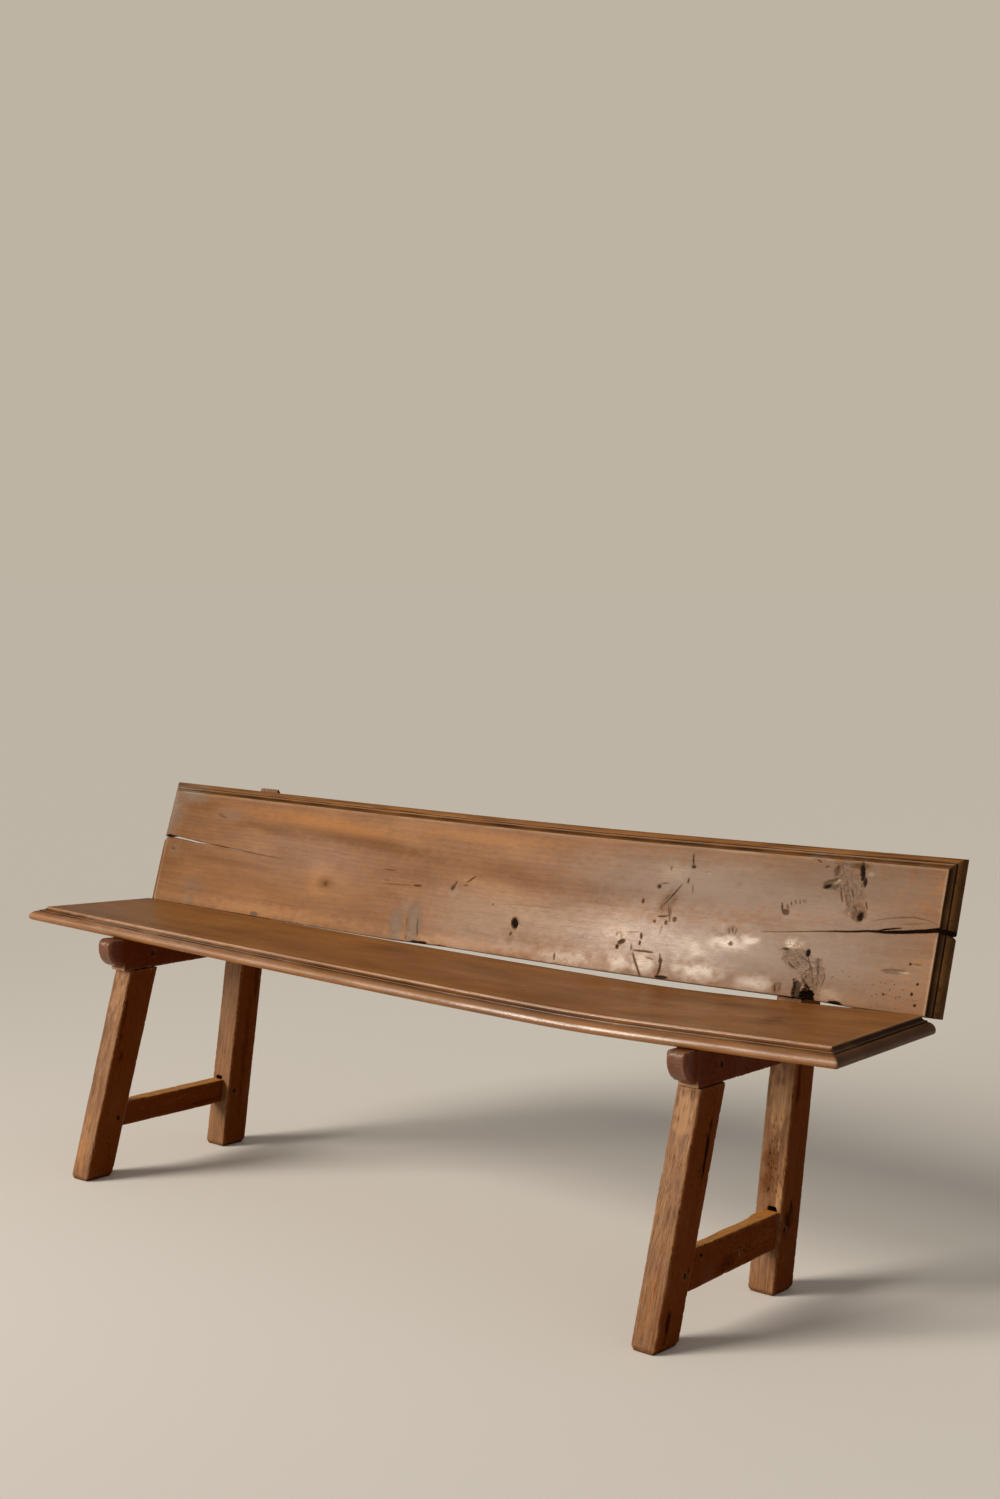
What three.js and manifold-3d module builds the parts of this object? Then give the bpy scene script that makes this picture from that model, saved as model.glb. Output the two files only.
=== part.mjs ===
// Long country bench with a fixed back: two leaning trestles carry a sagging moulded seat plank,
// and the rear posts run on up behind a moulded back plank that leans on them.
// Millimetres. +X runs along the bench, -Y faces the front, +Z is up, floor at z = 0.

import * as THREE from "three";
import { mergeVertices } from "three/addons/utils/BufferGeometryUtils.js";
import Module from "manifold-3d";

const wasm = await Module();
wasm.setup();

// Fit between a piece and the one it sits in or on, and how far a cut runs past what it cuts.
const fitGap = 0.3;
const overrun = 40;

// Seat plank: the flat of its top, how far that runs past the middle of each trestle,
// then the moulding that goes round the front and both ends.
const seat = {
  length: 1736,
  overhang: 232.8,
  width: 252.5,
  rearY: 122.9,
  topZ: 460,
  sag: 8.5,
  sagX: 349,
  moulding: {
    coveOut: 8.2,
    coveDown: 6.4,
    filletOut: 2.2,
    quirkDown: 2,
    noseOut: 14.1,
    noseDown: 12,
    underRadius: 6.1,
  },
};

// Height of the warped seat's four corners above a level plank.
const seatCorner = { frontLeft: 1.7, frontRight: -4.2, rearLeft: -8.3, rearRight: 1.3 };

// Back plank: its plain lower edge against the seat, the flat of its face, its lean, its crooked hanging.
const back = {
  shorterBy: 4,
  width: 221,
  shiftX: -4,
  behindSeat: 17,
  belowSeat: 1.7,
  sagLow: 6,
  sagHigh: 4.6,
  sagX: 119,
  tilt: 7.4,
  moulding: {
    coveOut: 7,
    coveDown: 5.6,
    filletOut: 2,
    quirkDown: 2.2,
    noseOut: 10.8,
    noseDown: 11.7,
    underRadius: 6,
  },
};
const backLength = seat.length - back.shorterBy;
const backLean = THREE.MathUtils.degToRad(15.8);

// Stations along a plank, and steps in each rounded part of an outline.
const plankSteps = 36;
const curveSteps = 5;

// Drying splits that open towards the ends of the back: place along its half length and up its width,
// and opening as a share of the widest mouth.
const splitMouth = 10.4;
const splitShares = [
  [
    { along: -1.06, up: 0.567, open: 1 },
    { along: -1.02, up: 0.566, open: 0.83 },
    { along: -0.968, up: 0.561, open: 0.54 },
    { along: -0.888, up: 0.553, open: 0.31 },
    { along: -0.803, up: 0.544, open: 0.15 },
    { along: -0.737, up: 0.537, open: 0.06 },
  ],
  [
    { along: 0.749, up: 0.478, open: 0.06 },
    { along: 0.796, up: 0.499, open: 0.17 },
    { along: 0.813, up: 0.507, open: 0.42 },
    { along: 0.88, up: 0.532, open: 0.52 },
    { along: 0.92, up: 0.548, open: 0.54 },
    { along: 0.987, up: 0.581, open: 0.71 },
    { along: 1.05, up: 0.6, open: 0.83 },
  ],
];

// Front leg: leans forward to the foot and is a little deeper at the top.
const frontLeg = { width: 44, footDepth: 62.8, topFrontY: -137.7, topDepth: 66.7 };

// Rear post: one piece from the floor to behind the back, leaning back.
const rearPost = {
  width: 49,
  depth: 58.8,
  aboveBackFace: 14,
  topSlopeHeight: 7,
  topSlopeDepth: 5,
  behindBackAtTop: 11,
};
const postLean = THREE.MathUtils.degToRad(7.7);

// Edges softened by wear.
const arris = 2.5;
const footWear = { inset: 3.5, height: 7 };

// Bearer: lies between seat and leg, with a rounded nose in front of the leg.
const bearer = { width: 37.5, noseRadius: 34, noseTopRadius: 9, padHeight: 8.4, noseSideCut: 5 };

// Stretchers between front leg and rear post; the rear mortises were cut a little too high.
const stretcher = { width: 29, shoulder: 9, mortiseSlit: 5, wane: 13 };

// Tenons and the pegs across them; insets run from the shoulder or the face of the jointed piece.
const tenon = {
  thickness: 14,
  legHeight: 44,
  legFrontInset: 12,
  legRearInset: 8,
  bearerInset: 11,
  depth: 36,
};
const peg = { radius: 4, recess: 1.5, inset: 17, aboveBearerFoot: 27 };
const pegSides = 20;

// Hidden dowels up into the seat, by their distance from its rear edge, and pins through the posts
// into the back plank, by their distance from its face's lower and upper edges.
const dowel = { radius: 5, inBearer: 22, inSeat: 15, frontInset: 163, rearInset: 48 };
const pin = { radius: 5, inPlank: 15, lowerInset: 62, upperInset: 56 };
const pinHeights = [pin.lowerInset, back.width - pin.upperInset];

// What differs between the two handmade trestles.
const leftTrestle = {
  name: "left",
  hand: -1,
  postShift: 0,
  stretcherShift: -6,
  bearerHeight: 59,
  noseAhead: 46.3,
  stretcherLow: { front: 84, rise: 0 },
  stretcherTop: { front: 128, rise: 0 },
  waneShares: [],
  bores: [],
};
const nearBore = { fromLeg: 46, belowTop: 15, radius: 3.4, depth: 14 };
const farBore = { fromLeg: 150, belowTop: 29, radius: 2.4, depth: 12 };
const rightTrestle = {
  name: "right",
  hand: 1,
  postShift: -14.6,
  stretcherShift: -7.8,
  bearerHeight: 62.9,
  noseAhead: 37.3,
  stretcherLow: { front: 64, rise: 10 },
  stretcherTop: { front: 127, rise: 4 },
  waneShares: [
    { along: -0.09, across: 0.77, down: 1 },
    { along: 0.15, across: 0.69, down: 0.92 },
    { along: 0.31, across: 0.85, down: 0.77 },
    { along: 0.51, across: 0.62, down: 0.85 },
    { along: 0.71, across: 0.65, down: 0.62 },
    { along: 0.82, across: 0.46, down: 0.38 },
    { along: 0.88, across: 0.06, down: 0.06 },
  ],
  bores: [nearBore, farBore],
};
const sides = [leftTrestle, rightTrestle];
const trestleHalf = seat.length / 2 - seat.overhang;

// Lower edge of the back plank's face, the posts' tops a little above and behind the back,
// and half the footprint: the front feet reach as far forward.
const backEdge = { y: seat.rearY + back.behindSeat, z: seat.topZ - back.belowSeat };
const postTopZ = backEdge.z + back.width * Math.cos(backLean) + rearPost.aboveBackFace;
const postShoulderZ = postTopZ - rearPost.topSlopeHeight;
const rearPlaneY = backEdge.y + thicknessOf(back) / Math.cos(backLean);
const halfDepth = rearPlaneY + (postShoulderZ - backEdge.z) * Math.tan(backLean) + rearPost.behindBackAtTop;

const colours = {
  seat: 0x83552f,
  back: 0x8c6041,
  bearer: 0x5a3320,
  leg: 0x80583d,
  stretcher: 0x6e4527,
  peg: 0x3a2416,
};
const roughness = { polished: 0.38, waxed: 0.55, worn: 0.7 };

// Closed body from a three.js geometry.
function solidOf(geometry) {
  geometry.deleteAttribute("normal");
  geometry.deleteAttribute("uv");
  const merged = mergeVertices(geometry);
  const mesh = new wasm.Mesh({
    numProp: 3,
    vertProperties: new Float32Array(merged.attributes.position.array),
    triVerts: new Uint32Array(merged.index.array),
  });
  return new wasm.Manifold(mesh);
}

// Body through rings of equal count; rings run counter-clockwise seen from the last one,
// and points i and count - 1 - i of an end ring face each other across the cap.
function loft(rings) {
  const count = rings[0].length;
  const lastRing = (rings.length - 1) * count;
  const faces = [];
  for (let level = 0; level < lastRing; level += count) {
    for (let i = 0; i < count; i += 1) {
      const next = (i + 1) % count;
      faces.push(level + i, level + next, level + count + next);
      faces.push(level + i, level + count + next, level + count + i);
    }
  }
  for (let i = 0; i < count / 2 - 1; i += 1) {
    const across = count - 1 - i;
    faces.push(i, across, across - 1);
    faces.push(lastRing + i, lastRing + across - 1, lastRing + across);
    if (across - 1 > i + 1) {
      faces.push(i, across - 1, i + 1);
      faces.push(lastRing + i, lastRing + i + 1, lastRing + across - 1);
    }
  }
  const geometry = new THREE.BufferGeometry();
  const points = rings.flat().flatMap((point) => point.toArray());
  geometry.setAttribute("position", new THREE.Float32BufferAttribute(points, 3));
  geometry.setIndex(faces);
  return solidOf(geometry);
}

// Prism across the bench from a side outline of [y, z] points.
function slab(outline, middleX, width) {
  const shape = new THREE.Shape(outline.map(([y, z]) => new THREE.Vector2(y, z)));
  const geometry = new THREE.ExtrudeGeometry(shape, { depth: width, bevelEnabled: false });
  const turn = new THREE.Matrix4().makeBasis(
    new THREE.Vector3(0, 1, 0),
    new THREE.Vector3(0, 0, 1),
    new THREE.Vector3(1, 0, 0),
  );
  geometry.applyMatrix4(turn);
  geometry.translate(middleX - width / 2, 0, 0);
  return solidOf(geometry);
}

// Box between two corners, carried by a mapping of its own three directions.
function block(low, high, place) {
  const ring = (c) => [
    place(low[0], low[1], c),
    place(high[0], low[1], c),
    place(high[0], high[1], c),
    place(low[0], high[1], c),
  ];
  return loft([ring(low[2]), ring(high[2])]);
}

const upright = (x, y, z) => new THREE.Vector3(x, y, z);

// Round bar between two points.
function bar(from, to, radius) {
  const length = from.distanceTo(to);
  const geometry = new THREE.CylinderGeometry(radius, radius, length, pegSides);
  const direction = to.clone().sub(from).normalize();
  const turn = new THREE.Quaternion().setFromUnitVectors(new THREE.Vector3(0, 1, 0), direction);
  geometry.applyQuaternion(turn);
  const middle = from.clone().add(to).multiplyScalar(0.5);
  geometry.translate(middle.x, middle.y, middle.z);
  return solidOf(geometry);
}

// Rectangle with cut corners, counter-clockwise, as [u, v] pairs.
function cutRectangle(lowU, highU, lowV, highV, cut) {
  return [
    [lowU + cut, lowV],
    [highU - cut, lowV],
    [highU, lowV + cut],
    [highU, highV - cut],
    [highU - cut, highV],
    [lowU + cut, highV],
    [lowU, highV - cut],
    [lowU, lowV + cut],
  ];
}

// Bend of a plank resting on the two trestles: 1 at its lowest place, 0 on the trestles, rising beyond.
function bend(x, lowestX) {
  const reach = x > lowestX ? trestleHalf - lowestX : trestleHalf + lowestX;
  const share = Math.abs(x - lowestX) / reach;
  return share < 1 ? 1 - 1.5 * share ** 2 + 0.5 * share ** 3 : 1.5 * (1 - share);
}

// Seat directions: along the bench, forward from the rear edge, down from the top.
function onSeat(along, forward, down) {
  const endShare = 0.5 + along / seat.length;
  const frontShare = forward / seat.width;
  const front = THREE.MathUtils.lerp(seatCorner.frontLeft, seatCorner.frontRight, endShare);
  const rear = THREE.MathUtils.lerp(seatCorner.rearLeft, seatCorner.rearRight, endShare);
  const warp = THREE.MathUtils.lerp(rear, front, frontShare);
  const z = seat.topZ + warp - seat.sag * bend(along, seat.sagX) - down;
  return new THREE.Vector3(along, seat.rearY - forward, z);
}

// Back directions, as seen from behind: along the bench, up the leaning face, inwards from the face.
function onBack(along, up, inward) {
  const x = back.shiftX - along;
  const upShare = up / back.width;
  const sag = THREE.MathUtils.lerp(back.sagLow, back.sagHigh, upShare) * bend(x, back.sagX);
  const raised = up - sag + back.tilt * (x / (backLength / 2));
  const y = backEdge.y + raised * Math.sin(backLean) + inward * Math.cos(backLean);
  const z = backEdge.z + raised * Math.cos(backLean) - inward * Math.sin(backLean);
  return new THREE.Vector3(x, y, z);
}

// Edge moulding as [out, down] points: cove, small flat fillet, quirk, rounded nose.
function mouldingOutline(moulding) {
  const quarter = Math.PI / 2;
  const outline = [];
  for (let i = 0; i <= curveSteps; i += 1) {
    const angle = (quarter * i) / curveSteps;
    outline.push([moulding.coveOut * (1 - Math.cos(angle)), moulding.coveDown * Math.sin(angle)]);
  }
  const filletEnd = moulding.coveOut + moulding.filletOut;
  outline.push([filletEnd, moulding.coveDown]);
  const noseTop = moulding.coveDown + moulding.quirkDown;
  for (let i = 0; i <= curveSteps; i += 1) {
    const angle = (quarter * i) / curveSteps;
    const out = filletEnd + moulding.noseOut * Math.sin(angle);
    outline.push([out, noseTop + moulding.noseDown * (1 - Math.cos(angle))]);
  }
  const [widest, level] = outline[outline.length - 1];
  for (let i = 1; i <= curveSteps; i += 1) {
    const angle = (quarter * i) / curveSteps;
    const out = widest - moulding.underRadius * (1 - Math.cos(angle));
    outline.push([out, level + moulding.underRadius * Math.sin(angle)]);
  }
  return outline;
}

function thicknessOf(plank) {
  const { coveDown, quirkDown, noseDown, underRadius } = plank.moulding;
  return coveDown + quirkDown + noseDown + underRadius;
}

// Plank with one plain long edge and the moulding round the other three.
function mouldedPlank(plank, length, place) {
  const rings = mouldingOutline(plank.moulding).map(([out, down]) => {
    const half = length / 2 + out;
    const plain = [];
    const moulded = [];
    for (let i = 0; i <= plankSteps; i += 1) {
      const along = half * ((2 * i) / plankSteps - 1);
      plain.push(place(along, 0, down));
      moulded.push(place(-along, plank.width + out, down));
    }
    return [...plain, ...moulded];
  });
  return loft(rings);
}

// Through split that follows the grain of the back.
function splitCut(shares) {
  const stations = shares.map(({ along, up, open }) => ({
    along: (-along * backLength) / 2,
    up: up * back.width,
    half: (open * splitMouth) / 2,
  }));
  stations.sort((one, other) => one.along - other.along);
  const ring = (inward) => [
    ...stations.map(({ along, up, half }) => onBack(along, up - half, inward)),
    ...stations.toReversed().map(({ along, up, half }) => onBack(along, up + half, inward)),
  ];
  return loft([ring(-overrun), ring(thicknessOf(back) + overrun)]);
}

// Middle planes of a side's pieces, and the height of its bearer's lower face.
const legX = (side) => side.hand * trestleHalf;
const postX = (side) => legX(side) + side.postShift;
const stretcherX = (side) => legX(side) + side.stretcherShift;
const bearerFootZ = (side) => seat.topZ - thicknessOf(seat) - side.bearerHeight;

// Faces of a side's front leg and of the posts at a height.
function legFaces(side, z) {
  const share = (z - footWear.height) / (bearerFootZ(side) - footWear.height);
  const front = THREE.MathUtils.lerp(-halfDepth, frontLeg.topFrontY, share);
  const depth = THREE.MathUtils.lerp(frontLeg.footDepth, frontLeg.topDepth, share);
  return { front, rear: front + depth };
}

function postFaces(z) {
  const rear = halfDepth + (z - postShoulderZ) * Math.tan(postLean);
  return { front: rear - rearPost.depth, rear };
}

// Leaning post through level sections with softened corners.
function leaningPost(middleX, width, stations) {
  const rings = stations.map(({ z, front, rear, inset }) => {
    const half = width / 2 - inset;
    const section = cutRectangle(middleX - half, middleX + half, front + inset, rear - inset, arris);
    return section.map(([x, y]) => upright(x, y, z));
  });
  return loft(rings);
}

function legBody(side) {
  const station = (z, inset) => ({ z, inset, ...legFaces(side, z) });
  const stations = [station(0, footWear.inset), station(footWear.height, 0), station(bearerFootZ(side), 0)];
  return leaningPost(legX(side), frontLeg.width, stations);
}

function postBody(side) {
  const station = (z, inset) => ({ z, inset, ...postFaces(z) });
  const top = station(postTopZ, 0);
  top.rear = halfDepth - rearPost.topSlopeDepth;
  const stations = [station(0, footWear.inset), station(footWear.height, 0), station(postShoulderZ, 0), top];
  return leaningPost(postX(side), rearPost.width, stations);
}

// Tenon on the front leg, leaning with it up into the bearer.
function legTenon(side, grow) {
  const lowZ = bearerFootZ(side);
  const highZ = lowZ + tenon.legHeight + grow;
  const low = legFaces(side, lowZ - overrun);
  const high = legFaces(side, highZ);
  const front = tenon.legFrontInset - grow;
  const rear = tenon.legRearInset - grow;
  const outline = [
    [low.front + front, lowZ - overrun],
    [low.rear - rear, lowZ - overrun],
    [high.rear - rear, highZ],
    [high.front + front, highZ],
  ];
  return slab(outline, legX(side), tenon.thickness + 2 * grow);
}

// Tenon on the bearer, into the rear post.
function bearerTenon(side, grow) {
  const lowZ = bearerFootZ(side) + tenon.bearerInset;
  const highZ = seat.topZ - thicknessOf(seat) - 2 * tenon.bearerInset;
  const rear = postFaces(lowZ).front + tenon.depth;
  const outline = [
    [0, lowZ - grow],
    [rear + grow, lowZ - grow],
    [rear + grow, highZ + grow],
    [0, highZ + grow],
  ];
  return slab(outline, (legX(side) + postX(side)) / 2, tenon.thickness + 2 * grow);
}

// Levels between which a stretcher's tenons lie, and the height of its pegs.
function stretcherTenonLevels(side) {
  const { stretcherLow: low, stretcherTop: top } = side;
  const lowZ = Math.max(low.front, low.front + low.rise) + stretcher.shoulder;
  const highZ = Math.min(top.front, top.front + top.rise) - stretcher.shoulder;
  return { lowZ, highZ, pegZ: (lowZ + highZ) / 2 };
}

// Where the leg's rear face and the post's front face stand at the height of the pegs.
function stretcherEnds(side) {
  const { pegZ } = stretcherTenonLevels(side);
  return { frontY: legFaces(side, pegZ).rear, rearY: postFaces(pegZ).front };
}

// One bar for both tenons of a stretcher; the rear mortise may run up past it.
function stretcherTenon(side, grow, slit) {
  const { lowZ, highZ } = stretcherTenonLevels(side);
  const { frontY, rearY } = stretcherEnds(side);
  const topZ = side.stretcherTop.front + side.stretcherTop.rise + stretcher.mortiseSlit;
  const rearTopZ = slit ? topZ : highZ + grow;
  const outline = [
    [frontY - tenon.depth - grow, lowZ - grow],
    [rearY + tenon.depth + grow, lowZ - grow],
    [rearY + tenon.depth + grow, rearTopZ],
    [0, rearTopZ],
    [0, highZ + grow],
    [frontY - tenon.depth - grow, highZ + grow],
  ];
  return slab(outline, stretcherX(side), tenon.thickness + 2 * grow);
}

// Pegs lie across the bench; grown ones cut their own holes.
function crossPeg(middleX, width, y, z, grow) {
  const half = width / 2 - peg.recess + (grow ? overrun : 0);
  return bar(upright(middleX - half, y, z), upright(middleX + half, y, z), peg.radius + grow);
}

function legPeg(side, grow) {
  const z = bearerFootZ(side) + peg.aboveBearerFoot;
  return crossPeg(legX(side), bearer.width, legFaces(side, z).rear - peg.inset, z, grow);
}

function postPeg(side, grow) {
  const z = bearerFootZ(side) + peg.aboveBearerFoot;
  return crossPeg(postX(side), rearPost.width, postFaces(z).front + peg.inset, z, grow);
}

function stretcherFrontPeg(side, grow) {
  const { pegZ } = stretcherTenonLevels(side);
  return crossPeg(legX(side), frontLeg.width, stretcherEnds(side).frontY - peg.inset, pegZ, grow);
}

function stretcherRearPeg(side, grow) {
  const { pegZ } = stretcherTenonLevels(side);
  return crossPeg(postX(side), rearPost.width, stretcherEnds(side).rearY + peg.inset, pegZ, grow);
}

// Dowel from the bearer up into the seat, at a distance in front of the seat's rear edge.
function seatDowel(side, inset, grow) {
  const underside = onSeat(legX(side), inset, thicknessOf(seat));
  const low = underside.clone().setZ(underside.z - dowel.inBearer - grow);
  const high = underside.clone().setZ(underside.z + dowel.inSeat + grow);
  return bar(low, high, dowel.radius + grow);
}

// Pin through the rear post into the back plank, cut off level with the post.
function backPin(side, up, grow) {
  const along = back.shiftX - postX(side);
  const inner = onBack(along, up, thicknessOf(back) - pin.inPlank - grow);
  const outer = onBack(along, up, thicknessOf(back) + 2 * rearPost.depth);
  const whole = bar(inner, outer, pin.radius + grow);
  if (grow) return whole;
  const lowZ = seat.topZ - overrun;
  const highZ = postTopZ + overrun;
  const behind = [
    [postFaces(lowZ).rear, lowZ],
    [postFaces(lowZ).rear + 2 * rearPost.depth, lowZ],
    [postFaces(highZ).rear + 2 * rearPost.depth, highZ],
    [postFaces(highZ).rear, highZ],
  ];
  return whole.subtract(slab(behind, postX(side), 2 * rearPost.width));
}

function cutAll(body, cuts) {
  return cuts.reduce((rest, cut) => rest.subtract(cut), body);
}

function seatPlank() {
  const dowels = sides.flatMap((side) =>
    [dowel.frontInset, dowel.rearInset].map((inset) => seatDowel(side, inset, fitGap)));
  return cutAll(mouldedPlank(seat, seat.length, onSeat), dowels);
}

function backPlank() {
  const pins = sides.flatMap((side) => pinHeights.map((up) => backPin(side, up, fitGap)));
  return cutAll(mouldedPlank(back, backLength, onBack), [...splitShares.map(splitCut), ...pins]);
}

function frontLegPiece(side) {
  const whole = legBody(side).add(legTenon(side, 0));
  return cutAll(whole, [
    stretcherTenon(side, fitGap, false),
    legPeg(side, fitGap),
    stretcherFrontPeg(side, fitGap),
  ]);
}

function rearPostPiece(side) {
  const along = back.shiftX - postX(side);
  const besideThePost = [along - rearPost.width, -fitGap, -overrun - rearPost.depth];
  const aboveThePost = [along + rearPost.width, 2 * back.width, thicknessOf(back) + fitGap];
  return cutAll(postBody(side), [
    block(besideThePost, aboveThePost, onBack),
    bearerTenon(side, fitGap),
    stretcherTenon(side, fitGap, true),
    postPeg(side, fitGap),
    stretcherRearPeg(side, fitGap),
    ...pinHeights.map((up) => backPin(side, up, fitGap)),
  ]);
}

// Bearer behind its nose, running back to the post.
function bearerBeam(side) {
  const padY = frontLeg.topFrontY - side.noseAhead + bearer.noseRadius;
  const lowZ = bearerFootZ(side);
  const outline = [
    [padY, lowZ],
    [postFaces(lowZ).front - fitGap, lowZ],
    [postFaces(seat.topZ).front - fitGap, seat.topZ],
    [padY, seat.topZ],
  ];
  return slab(outline, legX(side), bearer.width);
}

// Nose: rounded in the side view, its side edges worn back.
function bearerNose(side) {
  const topZ = onSeat(legX(side), seat.width, thicknessOf(seat) + fitGap).z;
  const ring = (x, inset) => {
    const radius = bearer.noseRadius - inset;
    const centreY = frontLeg.topFrontY - side.noseAhead + bearer.noseRadius;
    const centreZ = bearerFootZ(side) + bearer.padHeight + bearer.noseRadius;
    const frontY = centreY - radius;
    const outline = [
      [centreY + bearer.width, centreZ - radius],
      [centreY + bearer.width, seat.topZ],
      [frontY + bearer.noseTopRadius, seat.topZ],
    ];
    for (let i = 0; i <= curveSteps; i += 1) {
      const angle = (Math.PI / 2) * (i / curveSteps);
      const y = frontY + bearer.noseTopRadius * (1 - Math.sin(angle));
      outline.push([y, topZ - bearer.noseTopRadius * (1 - Math.cos(angle))]);
    }
    for (let i = 0; i <= 2 * curveSteps; i += 1) {
      const angle = (Math.PI / 2) * (i / (2 * curveSteps));
      outline.push([centreY - radius * Math.cos(angle), centreZ - radius * Math.sin(angle)]);
    }
    return outline.map(([y, z]) => upright(x, y, z));
  };
  const half = bearer.width / 2;
  return loft([
    ring(legX(side) - half, bearer.noseSideCut),
    ring(legX(side) - half + bearer.noseSideCut, 0),
    ring(legX(side) + half - bearer.noseSideCut, 0),
    ring(legX(side) + half, bearer.noseSideCut),
  ]);
}

function bearerPiece(side) {
  const underSeat = block(
    [legX(side) - overrun, -seat.width, -overrun],
    [legX(side) + overrun, 2 * seat.width, thicknessOf(seat) + fitGap],
    onSeat,
  );
  const body = bearerBeam(side).add(bearerNose(side)).subtract(underSeat).add(bearerTenon(side, 0));
  return cutAll(body, [
    legTenon(side, fitGap),
    legPeg(side, fitGap),
    postPeg(side, fitGap),
    seatDowel(side, dowel.frontInset, fitGap),
    seatDowel(side, dowel.rearInset, fitGap),
  ]);
}

// Heights of a stretcher's lower and upper faces, at a share of the way from leg to post.
function stretcherLevels(side, share) {
  return {
    lowZ: side.stretcherLow.front + share * side.stretcherLow.rise,
    highZ: side.stretcherTop.front + share * side.stretcherTop.rise,
  };
}

// Stretcher before its ends are fitted: it starts and ends inside the leg and the post.
function stretcherBody(side) {
  const half = stretcher.width / 2;
  const { frontY, rearY } = stretcherEnds(side);
  const ring = (y) => {
    const { lowZ, highZ } = stretcherLevels(side, (y - frontY) / (rearY - frontY));
    const section = cutRectangle(lowZ, highZ, stretcherX(side) - half, stretcherX(side) + half, arris / 2);
    return section.map(([z, x]) => upright(x, y, z));
  };
  return loft([ring(frontY - frontLeg.footDepth), ring(rearY + rearPost.depth)]);
}

// Space the front leg and the rear post take from a stretcher.
function legAndBefore(side) {
  const low = legFaces(side, 0);
  const high = legFaces(side, bearerFootZ(side));
  const outline = [
    [low.front - overrun, 0],
    [low.rear + fitGap, 0],
    [high.rear + fitGap, bearerFootZ(side)],
    [low.front - overrun, bearerFootZ(side)],
  ];
  return slab(outline, legX(side), 2 * frontLeg.width);
}

function postAndBeyond(side) {
  const high = postFaces(bearerFootZ(side));
  const outline = [
    [postFaces(0).front - fitGap, 0],
    [high.rear + overrun, 0],
    [high.rear + overrun, bearerFootZ(side)],
    [high.front - fitGap, bearerFootZ(side)],
  ];
  return slab(outline, postX(side), 2 * rearPost.width);
}

// Waney edge left by the bark along the far top edge of a stretcher.
function waneCut(side) {
  const farX = stretcherX(side) - stretcher.width / 2;
  const { frontY, rearY } = stretcherEnds(side);
  const rings = side.waneShares.map(({ along, across, down }) => {
    const y = THREE.MathUtils.lerp(frontY, rearY, along);
    const { highZ } = stretcherLevels(side, along);
    return [
      upright(farX - overrun, y, highZ + overrun),
      upright(farX + across * stretcher.wane, y, highZ),
      upright(farX, y, highZ - down * stretcher.wane),
    ];
  });
  return loft(rings);
}

// Old peg holes bored into the outer face of a stretcher.
function stretcherBores(side) {
  const faceX = stretcherX(side) + stretcher.width / 2;
  const { frontY, rearY } = stretcherEnds(side);
  return side.bores.map(({ fromLeg, belowTop, radius, depth }) => {
    const y = frontY + fromLeg;
    const z = stretcherLevels(side, fromLeg / (rearY - frontY)).highZ - belowTop;
    return bar(upright(faceX - depth, y, z), upright(faceX + overrun, y, z), radius);
  });
}

function stretcherPiece(side) {
  const wanes = side.waneShares.length ? [waneCut(side)] : [];
  const body = cutAll(stretcherBody(side), [legAndBefore(side), postAndBeyond(side), ...wanes]);
  return cutAll(body.add(stretcherTenon(side, 0, false)), [
    stretcherFrontPeg(side, fitGap),
    stretcherRearPeg(side, fitGap),
    ...stretcherBores(side),
  ]);
}

const bench = new THREE.Group();
bench.name = "country_bench";

function addPiece(name, solid, colour, rough) {
  const mesh = solid.getMesh();
  const geometry = new THREE.BufferGeometry();
  geometry.setAttribute("position", new THREE.BufferAttribute(new Float32Array(mesh.vertProperties), 3));
  geometry.setIndex(new THREE.BufferAttribute(new Uint32Array(mesh.triVerts), 1));
  geometry.computeVertexNormals();
  const material = new THREE.MeshStandardMaterial({ color: colour, roughness: rough, metalness: 0 });
  const piece = new THREE.Mesh(geometry, material);
  piece.name = name;
  bench.add(piece);
}

addPiece("seat_plank", seatPlank(), colours.seat, roughness.polished);
addPiece("back_plank", backPlank(), colours.back, roughness.polished);
for (const side of sides) {
  const named = (name) => `${side.name}_${name}`;
  addPiece(named("bearer"), bearerPiece(side), colours.bearer, roughness.waxed);
  addPiece(named("front_leg"), frontLegPiece(side), colours.leg, roughness.worn);
  addPiece(named("rear_post"), rearPostPiece(side), colours.leg, roughness.worn);
  addPiece(named("stretcher"), stretcherPiece(side), colours.stretcher, roughness.waxed);
  addPiece(named("front_leg_peg"), legPeg(side, 0), colours.peg, roughness.worn);
  addPiece(named("rear_post_peg"), postPeg(side, 0), colours.peg, roughness.worn);
  addPiece(named("stretcher_front_peg"), stretcherFrontPeg(side, 0), colours.peg, roughness.worn);
  addPiece(named("stretcher_rear_peg"), stretcherRearPeg(side, 0), colours.peg, roughness.worn);
  addPiece(named("seat_dowel_front"), seatDowel(side, dowel.frontInset, 0), colours.peg, roughness.worn);
  addPiece(named("seat_dowel_rear"), seatDowel(side, dowel.rearInset, 0), colours.peg, roughness.worn);
  addPiece(named("back_pin_lower"), backPin(side, pinHeights[0], 0), colours.peg, roughness.worn);
  addPiece(named("back_pin_upper"), backPin(side, pinHeights[1], 0), colours.peg, roughness.worn);
}

export default bench;
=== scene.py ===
"""Looks of a long country bench with a fixed back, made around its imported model.

Boards are modelled flat, in millimetres, with the face up and the plain long edge at y = 0, and
are then bent on to the bench. Every wooden piece keeps its place in its own board as the vector
attribute "board", with x along the grain, so that grain, pores and stains follow the wood.
"""

import logging
import math
from dataclasses import dataclass
from enum import Enum
from typing import Any, Sequence

import bmesh
import bpy
import numpy as np
from mathutils import Matrix, Vector, noise


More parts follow.
